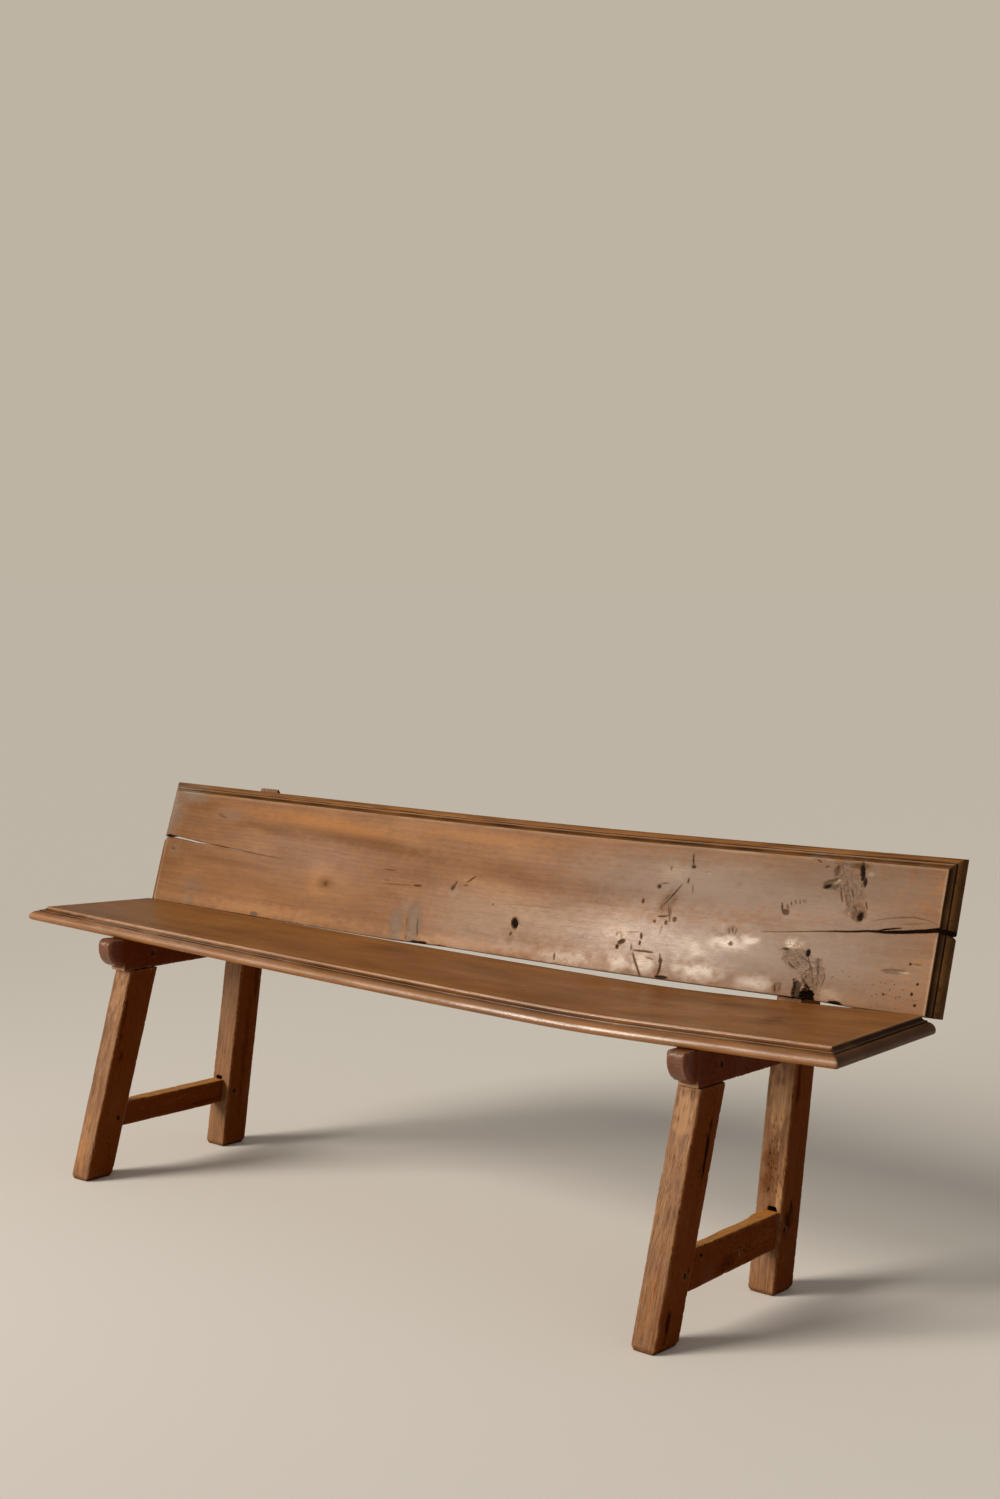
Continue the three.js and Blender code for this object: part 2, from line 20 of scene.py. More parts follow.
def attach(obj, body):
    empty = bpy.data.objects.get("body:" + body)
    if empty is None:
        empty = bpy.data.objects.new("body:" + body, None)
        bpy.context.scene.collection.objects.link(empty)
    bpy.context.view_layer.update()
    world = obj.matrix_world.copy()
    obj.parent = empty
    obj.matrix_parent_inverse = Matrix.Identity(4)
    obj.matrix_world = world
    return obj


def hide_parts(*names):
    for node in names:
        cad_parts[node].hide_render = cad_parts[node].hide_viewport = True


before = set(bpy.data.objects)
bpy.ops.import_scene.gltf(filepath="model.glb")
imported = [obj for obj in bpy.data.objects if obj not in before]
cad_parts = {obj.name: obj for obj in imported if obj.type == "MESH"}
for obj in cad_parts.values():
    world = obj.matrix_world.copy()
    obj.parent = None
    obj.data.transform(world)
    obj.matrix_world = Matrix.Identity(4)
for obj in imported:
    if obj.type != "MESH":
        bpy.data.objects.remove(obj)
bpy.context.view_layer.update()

log = logging.getLogger("bench")
MM = 0.001
ROOT = "root"
materials: dict[str, bpy.types.Material] = {}
# Half the way between the trestles' middles, on which both boards rest.
TRESTLE_HALF = 635.2


class Side(Enum):
    """Trestle of the bench, seen from the front."""

    LEFT = "left"
    RIGHT = "right"


class Part(Enum):
    """Timbers of a trestle."""

    FRONT_LEG = "front_leg"
    REAR_POST = "rear_post"
    BEARER = "bearer"
    STRETCHER = "stretcher"


class Tone(Enum):
    """Painted values that a board carries besides its plain wood. Smoke, rub and dirt also carry
    painted shade and painted highlights.
    """

    # Smoky tone, and also painted shade on faces and ends turned from the light.
    SMOKE = "smoke"
    GOLD = "gold"
    ASH = "ash"
    # Rubbed pale tone, and also painted highlights of the sheen, the arrises and the lit faces.
    RUB_AND_HIGHLIGHT = "rub"
    # Grime, and also painted shade in coves, quirks, cracks, splits and holes.
    DIRT_AND_SHADE = "dirt"
    GLOSS = "gloss"
    WORM = "worm"
    TORN = "torn"
    SPECK = "speck"


def linear(hex_colour: str) -> tuple[float, float, float, float]:
    """Turn an sRGB hex colour to linear.

    Args:
        hex_colour: Six hex digits, with or without a leading hash.

    Returns:
        Linear red, green, blue and full alpha.
    """
    digits = hex_colour.lstrip("#")
    channels = []
    for start in (0, 2, 4):
        value = int(digits[start:start + 2], 16) / 255
        channels.append(value / 12.92 if value <= 0.04045 else ((value + 0.055) / 1.055) ** 2.4)
    return (channels[0], channels[1], channels[2], 1.0)


def add_node(
    tree: bpy.types.NodeTree,
    kind: str,
    settings: dict[str, Any] | None = None,
    values: dict[str | int, Any] | None = None,
    links: dict[str | int, bpy.types.NodeSocket] | None = None,
) -> bpy.types.Node:
    """Add a node with its settings, its inputs' values and the links into it.

    Args:
        tree: Node tree that gets the node.
        kind: Blender's name for the node's type.
        settings: Properties of the node itself.
        values: Values of its inputs, by name or place.
        links: Sockets that feed its inputs, by name or place.

    Returns:
        The new node.
    """
    node = tree.nodes.new(kind)
    for name, value in (settings or {}).items():
        setattr(node, name, value)
    for name, value in (values or {}).items():
        node.inputs[name].default_value = value
    for name, socket in (links or {}).items():
        tree.links.new(socket, node.inputs[name])
    return node


def weigh(
    tree: bpy.types.NodeTree,
    base: float,
    terms: Sequence[tuple[bpy.types.NodeSocket, float]],
) -> bpy.types.NodeSocket:
    """Add up values, each times its weight.

    Args:
        tree: Node tree that gets the nodes.
        base: Value that the sum starts from.
        terms: Sockets and their weights.

    Returns:
        The sum.
    """
    start = add_node(tree, "ShaderNodeMath", {"operation": "ADD"}, {0: base, 1: 0.0})
    total = start.outputs["Value"]
    for socket, weight in terms:
        total = add_node(tree, "ShaderNodeMath", {"operation": "MULTIPLY_ADD"}, {1: weight},
                         {0: socket, 2: total}).outputs["Value"]
    return total


@dataclass(frozen=True)
class Pattern:
    """Soft noise whose blobs have a real length, width and depth, in millimetres."""

    size: tuple[float, float, float]
    detail: float
    roughness: float = 0.55

    def draw(self, tree: bpy.types.NodeTree, place: bpy.types.NodeSocket) -> bpy.types.Node:
        """Add the noise to a material.

        Args:
            tree: Node tree that gets the nodes.
            place: Millimetres in the board.

        Returns:
            The noise node, whose values lie around a half.
        """
        stretched = add_node(tree, "ShaderNodeVectorMath", {"operation": "DIVIDE"},
                             {1: self.size}, {0: place})
        return add_node(tree, "ShaderNodeTexNoise", None,
                        {"Scale": 1.0, "Detail": self.detail, "Roughness": self.roughness},
                        {"Vector": stretched.outputs["Vector"]})


# Patterns that every wood has: the slow drift of its grain, clouds and blotches of colour, marks
# of the saw and of the hand plane, specks of grime, and the splinters of torn places.
DRIFT = Pattern((420.0, 90.0, 90.0), 2.0, 0.5)
CLOUDS = Pattern((190.0, 46.0, 46.0), 5.0, 0.6)
BLOTCHES = Pattern((30.0, 15.0, 15.0), 4.0, 0.6)
CHATTER = Pattern((5.0, 120.0, 120.0), 2.0)
HAND_WORK = Pattern((84.0, 30.0, 30.0), 0.7)
SPECKS = Pattern((7.0, 3.2, 3.2), 4.0, 0.7)
SPLINTERS = Pattern((16.0, 2.1, 400.0), 3.0, 0.6)
DRIFT_SWING = 34.0
FLAME_STRETCH = 9.0
WORM_SPACING = 13.0
CLOUD_ROUGHNESS = 0.22
FIBRE_ROUGHNESS = 0.30
LEAST_SHINE = 0.02


@dataclass(frozen=True)
class WoodFinish:
    """Old solid wood, hand planed, waxed for generations and worn.

    The colours run from the pale worn wood to the grime in its hollows; the rubbed colour also
    paints highlights, and the smoky colour and the grime also paint shade. Lengths are
    millimetres.
    Fibres and pores are drawn coarser than real ones, so that they show.
    """

    name: str
    slot: str
    pale: str
    middle: str
    deep: str
    # Grime, and also painted shade in recesses.
    grime_and_shade: str
    golden: str
    ashen: str
    # Smoky colour, and also the painted shade of faces turned from the light.
    smoky_and_shaded: str
    # Rubbed colour, and also painted highlights.
    rubbed_and_highlight: str
    ring: float
    ring_strength: float
    fibre_length: float
    fibre_width: float
    fibre_strength: float
    pore_length: float
    pore_width: float
    pore_strength: float
    cloud_strength: float
    chatter: float
    roughness: float
    gloss_roughness: float
    unevenness: float
    shine: float = 0.34
    gloss_shine: float = 0.16
    blotch_share: float = 0.3
    from_object: bool = False

    def build(self) -> bpy.types.Material:
        """Make the node material.

        Returns:
            The material, named for its wood and surface.
        """
        material = bpy.data.materials.new(self.name)
        material.use_nodes = True
        tree = material.node_tree
        tree.nodes.clear()
        painted = {tone: add_node(tree, "ShaderNodeAttribute",
                                  {"attribute_name": tone.value}).outputs["Fac"] for tone in Tone}
        patterns = self.draw_patterns(tree)
        shares = self.find_shares(tree, patterns, painted)
        rough, shine, height = self.find_surface(tree, patterns, shares, painted)
        bump = add_node(tree, "ShaderNodeBump", None, {"Strength": 1.0, "Distance": MM},
                        {"Height": height})
        shader = add_node(
            tree, "ShaderNodeBsdfPrincipled", None, {"IOR": 1.5},
            {"Base Color": self.mix_colour(tree, shares), "Roughness": rough,
             "Specular IOR Level": shine, "Normal": bump.outputs["Normal"]})
        add_node(tree, "ShaderNodeOutputMaterial", links={"Surface": shader.outputs["BSDF"]})
        return material

    def draw_patterns(self, tree: bpy.types.NodeTree) -> dict[str, bpy.types.NodeSocket]:
        """Draw the wood's own figure and the marks of tools and time, all without colour.

        Args:
            tree: Node tree that gets the nodes.

        Returns:
            The patterns' values, by name.
        """
        # Millimetres in the piece's own board, x along the grain.
        if self.from_object:
            source = add_node(tree, "ShaderNodeTexCoord").outputs["Object"]
            place = add_node(tree, "ShaderNodeMapping", None, {"Scale": (1 / MM,) * 3},
                             {"Vector": source}).outputs["Vector"]
        else:
            place = add_node(tree, "ShaderNodeAttribute",
                             {"attribute_name": "board"}).outputs["Vector"]

        # The grain drifts slowly, so that no line runs dead straight.
        centred = add_node(tree, "ShaderNodeVectorMath", {"operation": "SUBTRACT"},
                           {1: (0.5, 0.5, 0.5)}, {0: DRIFT.draw(tree, place).outputs["Color"]})
        grain = add_node(tree, "ShaderNodeVectorMath", {"operation": "MULTIPLY_ADD"},
                         {1: (0.0, DRIFT_SWING, DRIFT_SWING)},
                         {0: centred.outputs["Vector"], 2: place}).outputs["Vector"]

        # Year rings run round a pith behind the face, and show as broad flames on a board.
        shrunk = add_node(tree, "ShaderNodeVectorMath", {"operation": "DIVIDE"},
                          {1: (FLAME_STRETCH, 1.0, 1.0)}, {0: grain})
        rings = add_node(
            tree, "ShaderNodeTexWave",
            {"wave_type": "RINGS", "rings_direction": "X", "wave_profile": "SAW"},
            {"Scale": math.tau / 20 / self.ring, "Distortion": 1.6, "Detail": 2.0,
             "Detail Scale": 0.05, "Detail Roughness": 0.6},
            {"Vector": shrunk.outputs["Vector"]})

        # Flight holes of woodworm are a little over a millimetre wide, around scattered points.
        # They are not modelled, and are painted as dark dots of grime and painted shade.
        spaced = add_node(tree, "ShaderNodeVectorMath", {"operation": "DIVIDE"},
                          {1: (WORM_SPACING,) * 3}, {0: place})
        worm = add_node(tree, "ShaderNodeTexVoronoi", {"voronoi_dimensions": "2D"},
                        {"Scale": 1.0}, {"Vector": spaced.outputs["Vector"]})

        fibres = Pattern((self.fibre_length, self.fibre_width, self.fibre_width), 4.0, 0.62)
        pores = Pattern((self.pore_length, self.pore_width, self.pore_width), 1.0)
        torn = add_node(tree, "ShaderNodeAttribute", {"attribute_name": "fibre"}).outputs["Vector"]
        patterns = {name: pattern.draw(tree, where).outputs["Fac"] for name, pattern, where in (
            ("fibres", fibres, grain), ("pores", pores, grain), ("clouds", CLOUDS, grain),
            ("blotches", BLOTCHES, place), ("chatter", CHATTER, place),
            ("hand", HAND_WORK, place), ("specks", SPECKS, place), ("splinters", SPLINTERS, torn))}
        return patterns | {"rings": rings.outputs["Fac"], "worm": worm.outputs["Distance"]}

    def find_shares(
        self,
        tree: bpy.types.NodeTree,
        patterns: dict[str, bpy.types.NodeSocket],
        painted: dict[Tone, bpy.types.NodeSocket],
    ) -> dict[str, bpy.types.NodeSocket]:
        """Find how thickly each coat of colour lies.

        Args:
            tree: Node tree that gets the nodes.
            patterns: Patterns of the wood, by name.
            painted: Painted values of the board.

        Returns:
            Shares of the coats, by name.
        """
        blotch = self.blotch_share * self.cloud_strength
        shares = {"splinters": patterns["splinters"]}
        # Each share grows from nothing at one value of its pattern to its strength at another.
        for share, pattern, nothing, full, strength in (
                ("dark_rings", "rings", 0.25, 1.0, self.ring_strength),
                ("pale_fibres", "fibres", 0.47, 0.66, self.fibre_strength),
                ("dark_fibres", "fibres", 0.48, 0.30, self.fibre_strength),
                ("dark_clouds", "clouds", 0.50, 0.68, self.cloud_strength),
                ("pale_clouds", "clouds", 0.47, 0.30, self.cloud_strength),
                ("smoky_blotches", "blotches", 0.52, 0.72, blotch),
                ("pale_blotches", "blotches", 0.46, 0.28, blotch),
                ("dark_chatter", "chatter", 0.50, 0.70, self.chatter),
                ("pale_chatter", "chatter", 0.47, 0.30, self.chatter),
                ("dark_pores", "pores", 0.56, 0.68, self.pore_strength),
                ("broken", "fibres", 0.30, 0.62, 1.0),
                ("holes", "worm", 0.085, 0.055, 1.0),
                ("ridges", "splinters", 0.47, 0.30, 0.10),
                ("gaps", "splinters", 0.52, 0.72, 0.50),
                ("specks", "specks", 0.52, 0.62, 0.95)):
            shares[share] = add_node(
                tree, "ShaderNodeMapRange", None,
                {"From Min": nothing, "From Max": full, "To Min": 0.0, "To Max": strength},
                {"Value": patterns[pattern]}).outputs["Result"]

        # Painted tones break up along the fibres; holes, splinters and specks lie where painted.
        # The gaps between torn splinters are painted shade, and their ridges are painted
        # highlights.
        shares["worn"] = weigh(tree, 0.55, ((shares["broken"], 0.6),))
        for share, figure, tone in (
                ("gold", "worn", Tone.GOLD), ("smoke", "worn", Tone.SMOKE),
                ("ash", "worn", Tone.ASH), ("rub", "worn", Tone.RUB_AND_HIGHLIGHT),
                ("holes", "holes", Tone.WORM), ("ridges", "ridges", Tone.TORN),
                ("gaps", "gaps", Tone.TORN), ("splinters", "splinters", Tone.TORN),
                ("specks", "specks", Tone.SPECK)):
            shares[share] = add_node(tree, "ShaderNodeMath", {"operation": "MULTIPLY"}, None,
                                     {0: shares[figure], 1: painted[tone]}).outputs["Value"]
        shares["dirt"] = painted[Tone.DIRT_AND_SHADE]
        for share in ("holes", "gaps", "specks"):
            shares["dirt"] = add_node(tree, "ShaderNodeMath", {"operation": "MAXIMUM"}, None,
                                      {0: shares["dirt"], 1: shares[share]}).outputs["Value"]
        return shares

    def mix_colour(
        self, tree: bpy.types.NodeTree, shares: dict[str, bpy.types.NodeSocket],
    ) -> bpy.types.NodeSocket:
        """Lay the coats of colour over the wood's middle tone, from the bottom up.

        Args:
            tree: Node tree that gets the nodes.
            shares: Shares of the coats, by name.

        Returns:
            The colour.
        """
        colour = add_node(tree, "ShaderNodeRGB").outputs["Color"]
        colour.default_value = linear(self.middle)
        for share, coat in (
                ("dark_rings", self.deep), ("pale_fibres", self.pale),
                ("dark_fibres", self.deep), ("dark_clouds", self.deep),
                ("pale_clouds", self.pale), ("smoky_blotches", self.smoky_and_shaded),
                ("pale_blotches", self.pale), ("dark_chatter", self.deep),
                ("pale_chatter", self.pale), ("dark_pores", self.grime_and_shade),
                ("gold", self.golden), ("smoke", self.smoky_and_shaded), ("ash", self.ashen),
                ("rub", self.rubbed_and_highlight), ("ridges", self.rubbed_and_highlight), ("dirt", self.grime_and_shade)):
            colour = add_node(tree, "ShaderNodeMix", {"data_type": "RGBA", "clamp_factor": True},
                              {"B": linear(coat)},
                              {"Factor": shares[share], "A": colour}).outputs["Result"]
        return colour

    def find_surface(
        self,
        tree: bpy.types.NodeTree,
        patterns: dict[str, bpy.types.NodeSocket],
        shares: dict[str, bpy.types.NodeSocket],
        painted: dict[Tone, bpy.types.NodeSocket],
    ) -> tuple[bpy.types.NodeSocket, ...]:
        """Find how the surface shines and how high it stands.

        Args:
            tree: Node tree that gets the nodes.
            patterns: Patterns of the wood, by name.
            shares: Shares of the coats, by name.
            painted: Painted values of the board.

        Returns:
            Roughness, shine, and height in millimetres.
        """
        rough = weigh(tree, self.roughness - 0.5 * (CLOUD_ROUGHNESS + FIBRE_ROUGHNESS), (
            (patterns["clouds"], CLOUD_ROUGHNESS), (patterns["fibres"], FIBRE_ROUGHNESS),
            (painted[Tone.GLOSS], self.gloss_roughness - self.roughness),
            (shares["dirt"], 0.35), (painted[Tone.TORN], 0.15), (shares["dark_pores"], 0.25)))
        shine = weigh(tree, self.shine, (
            (painted[Tone.GLOSS], self.gloss_shine), (shares["dirt"], -0.24),
            (painted[Tone.SMOKE], -0.30)))
        shine = add_node(tree, "ShaderNodeMath", {"operation": "MAXIMUM"}, {1: LEAST_SHINE},
                         {0: shine}).outputs["Value"]
        height = weigh(tree, 0.0, (
            (patterns["fibres"], 0.16 * self.unevenness),
            (shares["dark_pores"], -0.30 * self.unevenness),
            (patterns["hand"], 1.3 * self.unevenness), (shares["splinters"], -2.6),
            (patterns["rings"], 0.06 * self.unevenness)))
        return rough, shine, height


# Walnut of the back: warm brown going pinkish and grey, with a waxed sheen over fine grain. Its
# pale rubbed colour also paints highlights of the sheen.
BACK_WOOD = WoodFinish(
    name="waxed_walnut_with_sheen", slot="back_wood",
    pale="#a87236", middle="#885726", deep="#653e1c", grime_and_shade="#140b07",
    golden="#aa6c24", ashen="#8c7768", smoky_and_shaded="#553a22", rubbed_and_highlight="#c6ad92",
    ring=9.0, ring_strength=0.36, fibre_length=60.0, fibre_width=1.2, fibre_strength=0.24,
    pore_length=8.0, pore_width=0.8, pore_strength=0.20, cloud_strength=0.46, chatter=0.05,
    roughness=0.46, gloss_roughness=0.27, unevenness=0.6, shine=0.22, gloss_shine=0.30)

# Walnut of the seat: deeper honey brown, rubbed smooth by use. Its pale rubbed colour also paints
# the highlights on the fillet and the nose.
SEAT_WOOD = WoodFinish(
    name="waxed_walnut_rubbed_smooth", slot="seat_wood",
    pale="#a9733a", middle="#8f5a22", deep="#673b14", grime_and_shade="#130b05",
    golden="#ad7630", ashen="#957360", smoky_and_shaded="#553018", rubbed_and_highlight="#bc9270",
    ring=11.0, ring_strength=0.34, fibre_length=90.0, fibre_width=1.4, fibre_strength=0.26,
    pore_length=8.0, pore_width=0.8, pore_strength=0.22, cloud_strength=0.55, chatter=0.03,
    roughness=0.40, gloss_roughness=0.21, unevenness=0.5, gloss_shine=0.42)

# Bearers: dark reddish brown under old wax, worn greyish pink on the noses. The smoky colour
# paints the shade of the faces turned from the light.
BEARER_WOOD = WoodFinish(
    name="dark_waxed_chestnut", slot="bearer_wood",
    pale="#7a4520", middle="#5f2c0d", deep="#421b05", grime_and_shade="#0f0703",
    golden="#8a5426", ashen="#75472e", smoky_and_shaded="#5c2200", rubbed_and_highlight="#a47a58",
    ring=6.0, ring_strength=0.35, fibre_length=40.0, fibre_width=1.4, fibre_strength=0.36,
    pore_length=8.0, pore_width=0.8, pore_strength=0.35, cloud_strength=0.45, chatter=0.10,
    roughness=0.44, gloss_roughness=0.34, unevenness=0.8)

# Legs and posts: chestnut with open straight pores, pinkish brown where it is worn and where the
# lit fronts are painted paler. The smoky colour paints the shade of the faces turned from the
# light.
LEG_WOOD = WoodFinish(
    name="dry_open_grained_chestnut", slot="leg_wood",
    pale="#94632f", middle="#70421a", deep="#502a0e", grime_and_shade="#120904",
    golden="#a0662a", ashen="#80614a", smoky_and_shaded="#6a2f04", rubbed_and_highlight="#b88a5e",
    ring=4.5, ring_strength=0.50, fibre_length=150.0, fibre_width=2.4, fibre_strength=0.82,
    pore_length=34.0, pore_width=1.5, pore_strength=0.50, cloud_strength=0.42, chatter=0.06,
    roughness=0.54, gloss_roughness=0.40, unevenness=1.5)

# Stretchers: darker chestnut, rubbed golden on top, the golden top also painted light. The smoky
# colour paints the shade of the faces turned from the light.
STRETCHER_WOOD = WoodFinish(
    name="rubbed_chestnut", slot="stretcher_wood",
    pale="#875420", middle="#6b3813", deep="#4a2208", grime_and_shade="#100703",
    golden="#c8883a", ashen="#85705a", smoky_and_shaded="#682b00", rubbed_and_highlight="#b0804f",
    ring=5.0, ring_strength=0.52, fibre_length=70.0, fibre_width=1.7, fibre_strength=0.55,
    pore_length=12.0, pore_width=0.9, pore_strength=0.45, cloud_strength=0.42, chatter=0.08,
    roughness=0.50, gloss_roughness=0.38, unevenness=1.0)

# Pegs, dowels and pins: split heartwood, nearly black with age.
PEG_WOOD = WoodFinish(
    name="split_heartwood", slot="peg_wood",
    pale="#4a2a12", middle="#331908", deep="#200e04", grime_and_shade="#0d0703",
    golden="#5a3a1e", ashen="#4a3a2c", smoky_and_shaded="#24140a", rubbed_and_highlight="#5a3d28",
    ring=1.6, ring_strength=0.5, fibre_length=12.0, fibre_width=0.7, fibre_strength=0.5,
    pore_length=4.0, pore_width=0.5, pore_strength=0.5, cloud_strength=0.4, chatter=0.0,
    roughness=0.70, gloss_roughness=0.5, unevenness=0.6, shine=0.06, from_object=True)


@dataclass(frozen=True)
class Moulding:
    """Edge profile of a board, in millimetres: cove, flat fillet, quirk and rounded nose."""

    cove_out: float
    cove_down: float
    fillet_out: float
    quirk_down: float
    nose_out: float
    nose_down: float
    under_radius: float
    steps: int = 7
    arris: float = 0.5
    sharp_turn: float = 40.0

    @property
    def thickness(self) -> float:
        """Return the thickness of the board that the profile goes round."""
        return self.cove_down + self.quirk_down + self.nose_down + self.under_radius

    def corners(self) -> list[Vector]:
        """Make the profile with sharp corners.

        Returns:
            Points (out, down), from the face on.
        """
        quarter = [math.pi / 2 * index / self.steps for index in range(self.steps + 1)]
        points = [(self.cove_out * (1 - math.cos(turn)), self.cove_down * math.sin(turn))
                  for turn in quarter]
        fillet_end = self.cove_out + self.fillet_out
        nose_top = self.cove_down + self.quirk_down
        points.append((fillet_end, self.cove_down))
        points += [(fillet_end + self.nose_out * math.sin(turn),
                    nose_top + self.nose_down * (1 - math.cos(turn))) for turn in quarter]
        widest, level = points[-1]
        points += [(widest - self.under_radius * (1 - math.cos(turn)),
                    level + self.under_radius * math.sin(turn)) for turn in quarter[1:]]
        return [Vector(point) for point in points]

    def profile(self) -> list[Vector]:
        """Soften the profile's sharp outer corners.

        Returns:
            Points (out, down), the first of them on the face.
        """
        points = [Vector((-3 * self.arris, 0)), *self.corners()]
        softened = [Vector((-self.arris, 0))]
        for before, point, after in zip(points, points[1:], points[2:]):
            arrive, leave = point - before, after - point
            if math.degrees(arrive.angle(leave)) < self.sharp_turn:
                softened.append(point)
                continue
            reach = min(self.arris, 0.4 * arrive.length, 0.4 * leave.length)
            start = point - arrive.normalized() * reach
            end = point + leave.normalized() * reach
            softened += [start, (start + 2 * point + end) / 4, end]
        softened.append(points[-1])
        return softened[1:] if (softened[1] - softened[0]).length < 1e-6 else softened


@dataclass(frozen=True)
class Hollow:
    """Ragged oval hollow or stain on a face, in millimetres.

    The tones say how much of each painted value it lays on. A hollow without depth only stains,
    and one with flutes is torn along its length, in grooves of that width.
    """

    x: float
    up: float
    half_x: float
    half_up: float
    depth: float
    turn: float
    ragged: float
    soft: float
    flutes: float
    tones: tuple[tuple[Tone, float], ...]

    def share(self, x: np.ndarray, up: np.ndarray, rough: np.ndarray) -> np.ndarray:
        """Find how much of the hollow lies at points on the face.

        Args:
            x: Places along the board.
            up: Places across the board.
            rough: Noise that makes the outline ragged.

        Returns:
            1 inside the oval, 0 outside, soft between.
        """
        along, across = self.own_place(x, up)
        radius = np.hypot(along / self.half_x, across / self.half_up)
        radius = radius + self.ragged * rough
        share = np.clip((1 - radius) / self.soft, 0, 1)
        return share * share * (3 - 2 * share)

    def own_place(self, x: np.ndarray, up: np.ndarray) -> tuple[np.ndarray, np.ndarray]:
        """Turn places on the face into the oval's own.

        Args:
            x: Places along the board.
            up: Places across the board.

        Returns:
            Places along and across the oval, from its middle.
        """
        turn = math.radians(self.turn)
        return ((x - self.x) * math.cos(turn) + (up - self.up) * math.sin(turn),
                (up - self.up) * math.cos(turn) - (x - self.x) * math.sin(turn))

    def grooves(self, x: np.ndarray, up: np.ndarray, share: np.ndarray) -> np.ndarray:
        """Find the torn grooves along the oval's length.

        Args:
            x: Places along the board.
            up: Places across the board.
            share: How much of the hollow lies there.

        Returns:
            1 in the grooves, 0 between them and outside the hollow.
        """
        found = np.zeros(len(x))
        near = np.nonzero(share > 0)[0]
        along, across = self.own_place(x[near], up[near])
        places = np.column_stack([along / 6, across, np.zeros(len(near))])
        torn = value_noise(places, (self.flutes,) * 3, self.x)
        found[near] = np.clip(0.5 + 1.6 * torn, 0, 1)
        return found


@dataclass(frozen=True)
class Crack:
    """Narrow ragged crack along points on a face, in millimetres."""

    points: tuple[tuple[float, float], ...]
    width: float = 1.2
    depth: float = 1.5
    wander: float = 0.5
    # How dark the crack is painted: grime and painted shade in it.
    dirt: float = 0.9
    halo: float = 0.6
    halo_reach: float = 3.2

    def share(self, x: np.ndarray, up: np.ndarray, rough: np.ndarray,
              reach: float = 1.0) -> np.ndarray:
        """Find how much of the crack lies at points on the face.

        Args:
            x: Places along the board.
            up: Places across the board.
            rough: Noise that makes the crack's sides ragged.
            reach: How many times its own width the crack counts.

        Returns:
            1 on the crack's line, falling to 0 at its sides, less towards its ends.
        """
        nearest, done = np.full_like(x, 1e6), np.zeros_like(x)
        total = sum(math.dist(*pair) for pair in zip(self.points, self.points[1:]))
        passed = 0.0
        for (x0, up0), (x1, up1) in zip(self.points, self.points[1:]):
            run, rise = x1 - x0, up1 - up0
            size = math.hypot(run, rise)
            place = np.clip(((x - x0) * run + (up - up0) * rise) / size ** 2, 0, 1)
            distance = np.hypot(x - x0 - place * run, up - up0 - place * rise)
            done = np.where(distance < nearest, (passed + place * size) / total, done)
            nearest = np.minimum(nearest, distance)
            passed += size
        nearest = nearest + self.wander * np.abs(rough)
        taper = 0.35 + 0.65 * np.sin(math.pi * np.clip(done, 0.02, 0.98)) ** 0.6
        return np.clip(1.25 - nearest / (0.5 * self.width * reach * taper + 0.5), 0, 1) * taper


def mark(x: float, up: float, half_x: float, half_up: float, *, depth: float = 0.0,
         turn: float = 0.0, ragged: float = 0.35, soft: float = 0.5, flutes: float = 0.0,
         **strengths: float) -> Hollow:
    """Write a hollow or stain in short.

    Args:
        x: Place along the board.
        up: Place across the board.
        half_x: Half length.
        half_up: Half width.
        depth: How deep it goes.
        turn: Angle in degrees from the board's length.
        ragged: How uneven its outline is.
        soft: How wide its edge is, as a share of its size.
        flutes: Width of its torn grooves, or 0 for none.
        strengths: Strengths of painted tones, by the tones' names.

    Returns:
        The hollow.
    """
    tones = tuple((Tone(name), strength) for name, strength in strengths.items())
    return Hollow(x, up, half_x, half_up, depth, turn, ragged, soft, flutes, tones)


def value_noise(places: np.ndarray, size: Sequence[float], seed: float) -> np.ndarray:
    """Sample smooth noise at many places.

    Args:
        places: Points in millimetres, one row each.
        size: Length of a noise blob along each axis, in millimetres.
        seed: Shift that picks another part of the noise.

    Returns:
        Values from about -1 to 1.
    """
    scaled = places / np.asarray(size) + seed
    return np.fromiter((noise.noise(Vector(row)) for row in scaled), float, len(scaled))


def lay(tones: dict[Tone, np.ndarray], tone: Tone, values: np.ndarray,
        rows: np.ndarray | slice = slice(None)) -> None:
    """Paint a tone on points where it is stronger than what is there.

    Args:
        tones: Painted values of all points, changed in place.
        tone: Tone to paint.
        values: How strong it is at each point.
        rows: Points that get it, or all of them.
    """
    tones[tone][rows] = np.maximum(tones[tone][rows], values)


def bend_share(x: np.ndarray, lowest: float) -> np.ndarray:
    """Find the bend of a board that rests on the two trestles.

    Args:
        x: Places along the bench, in millimetres.
        lowest: Place where the board hangs lowest.

    Returns:
        1 at the lowest place, 0 on the trestles, below 0 beyond them.
    """
    reach = np.where(x > lowest, TRESTLE_HALF - lowest, TRESTLE_HALF + lowest)
    share = np.abs(x - lowest) / reach
    return np.where(share < 1, 1 - 1.5 * share ** 2 + 0.5 * share ** 3, 1.5 * (1 - share))


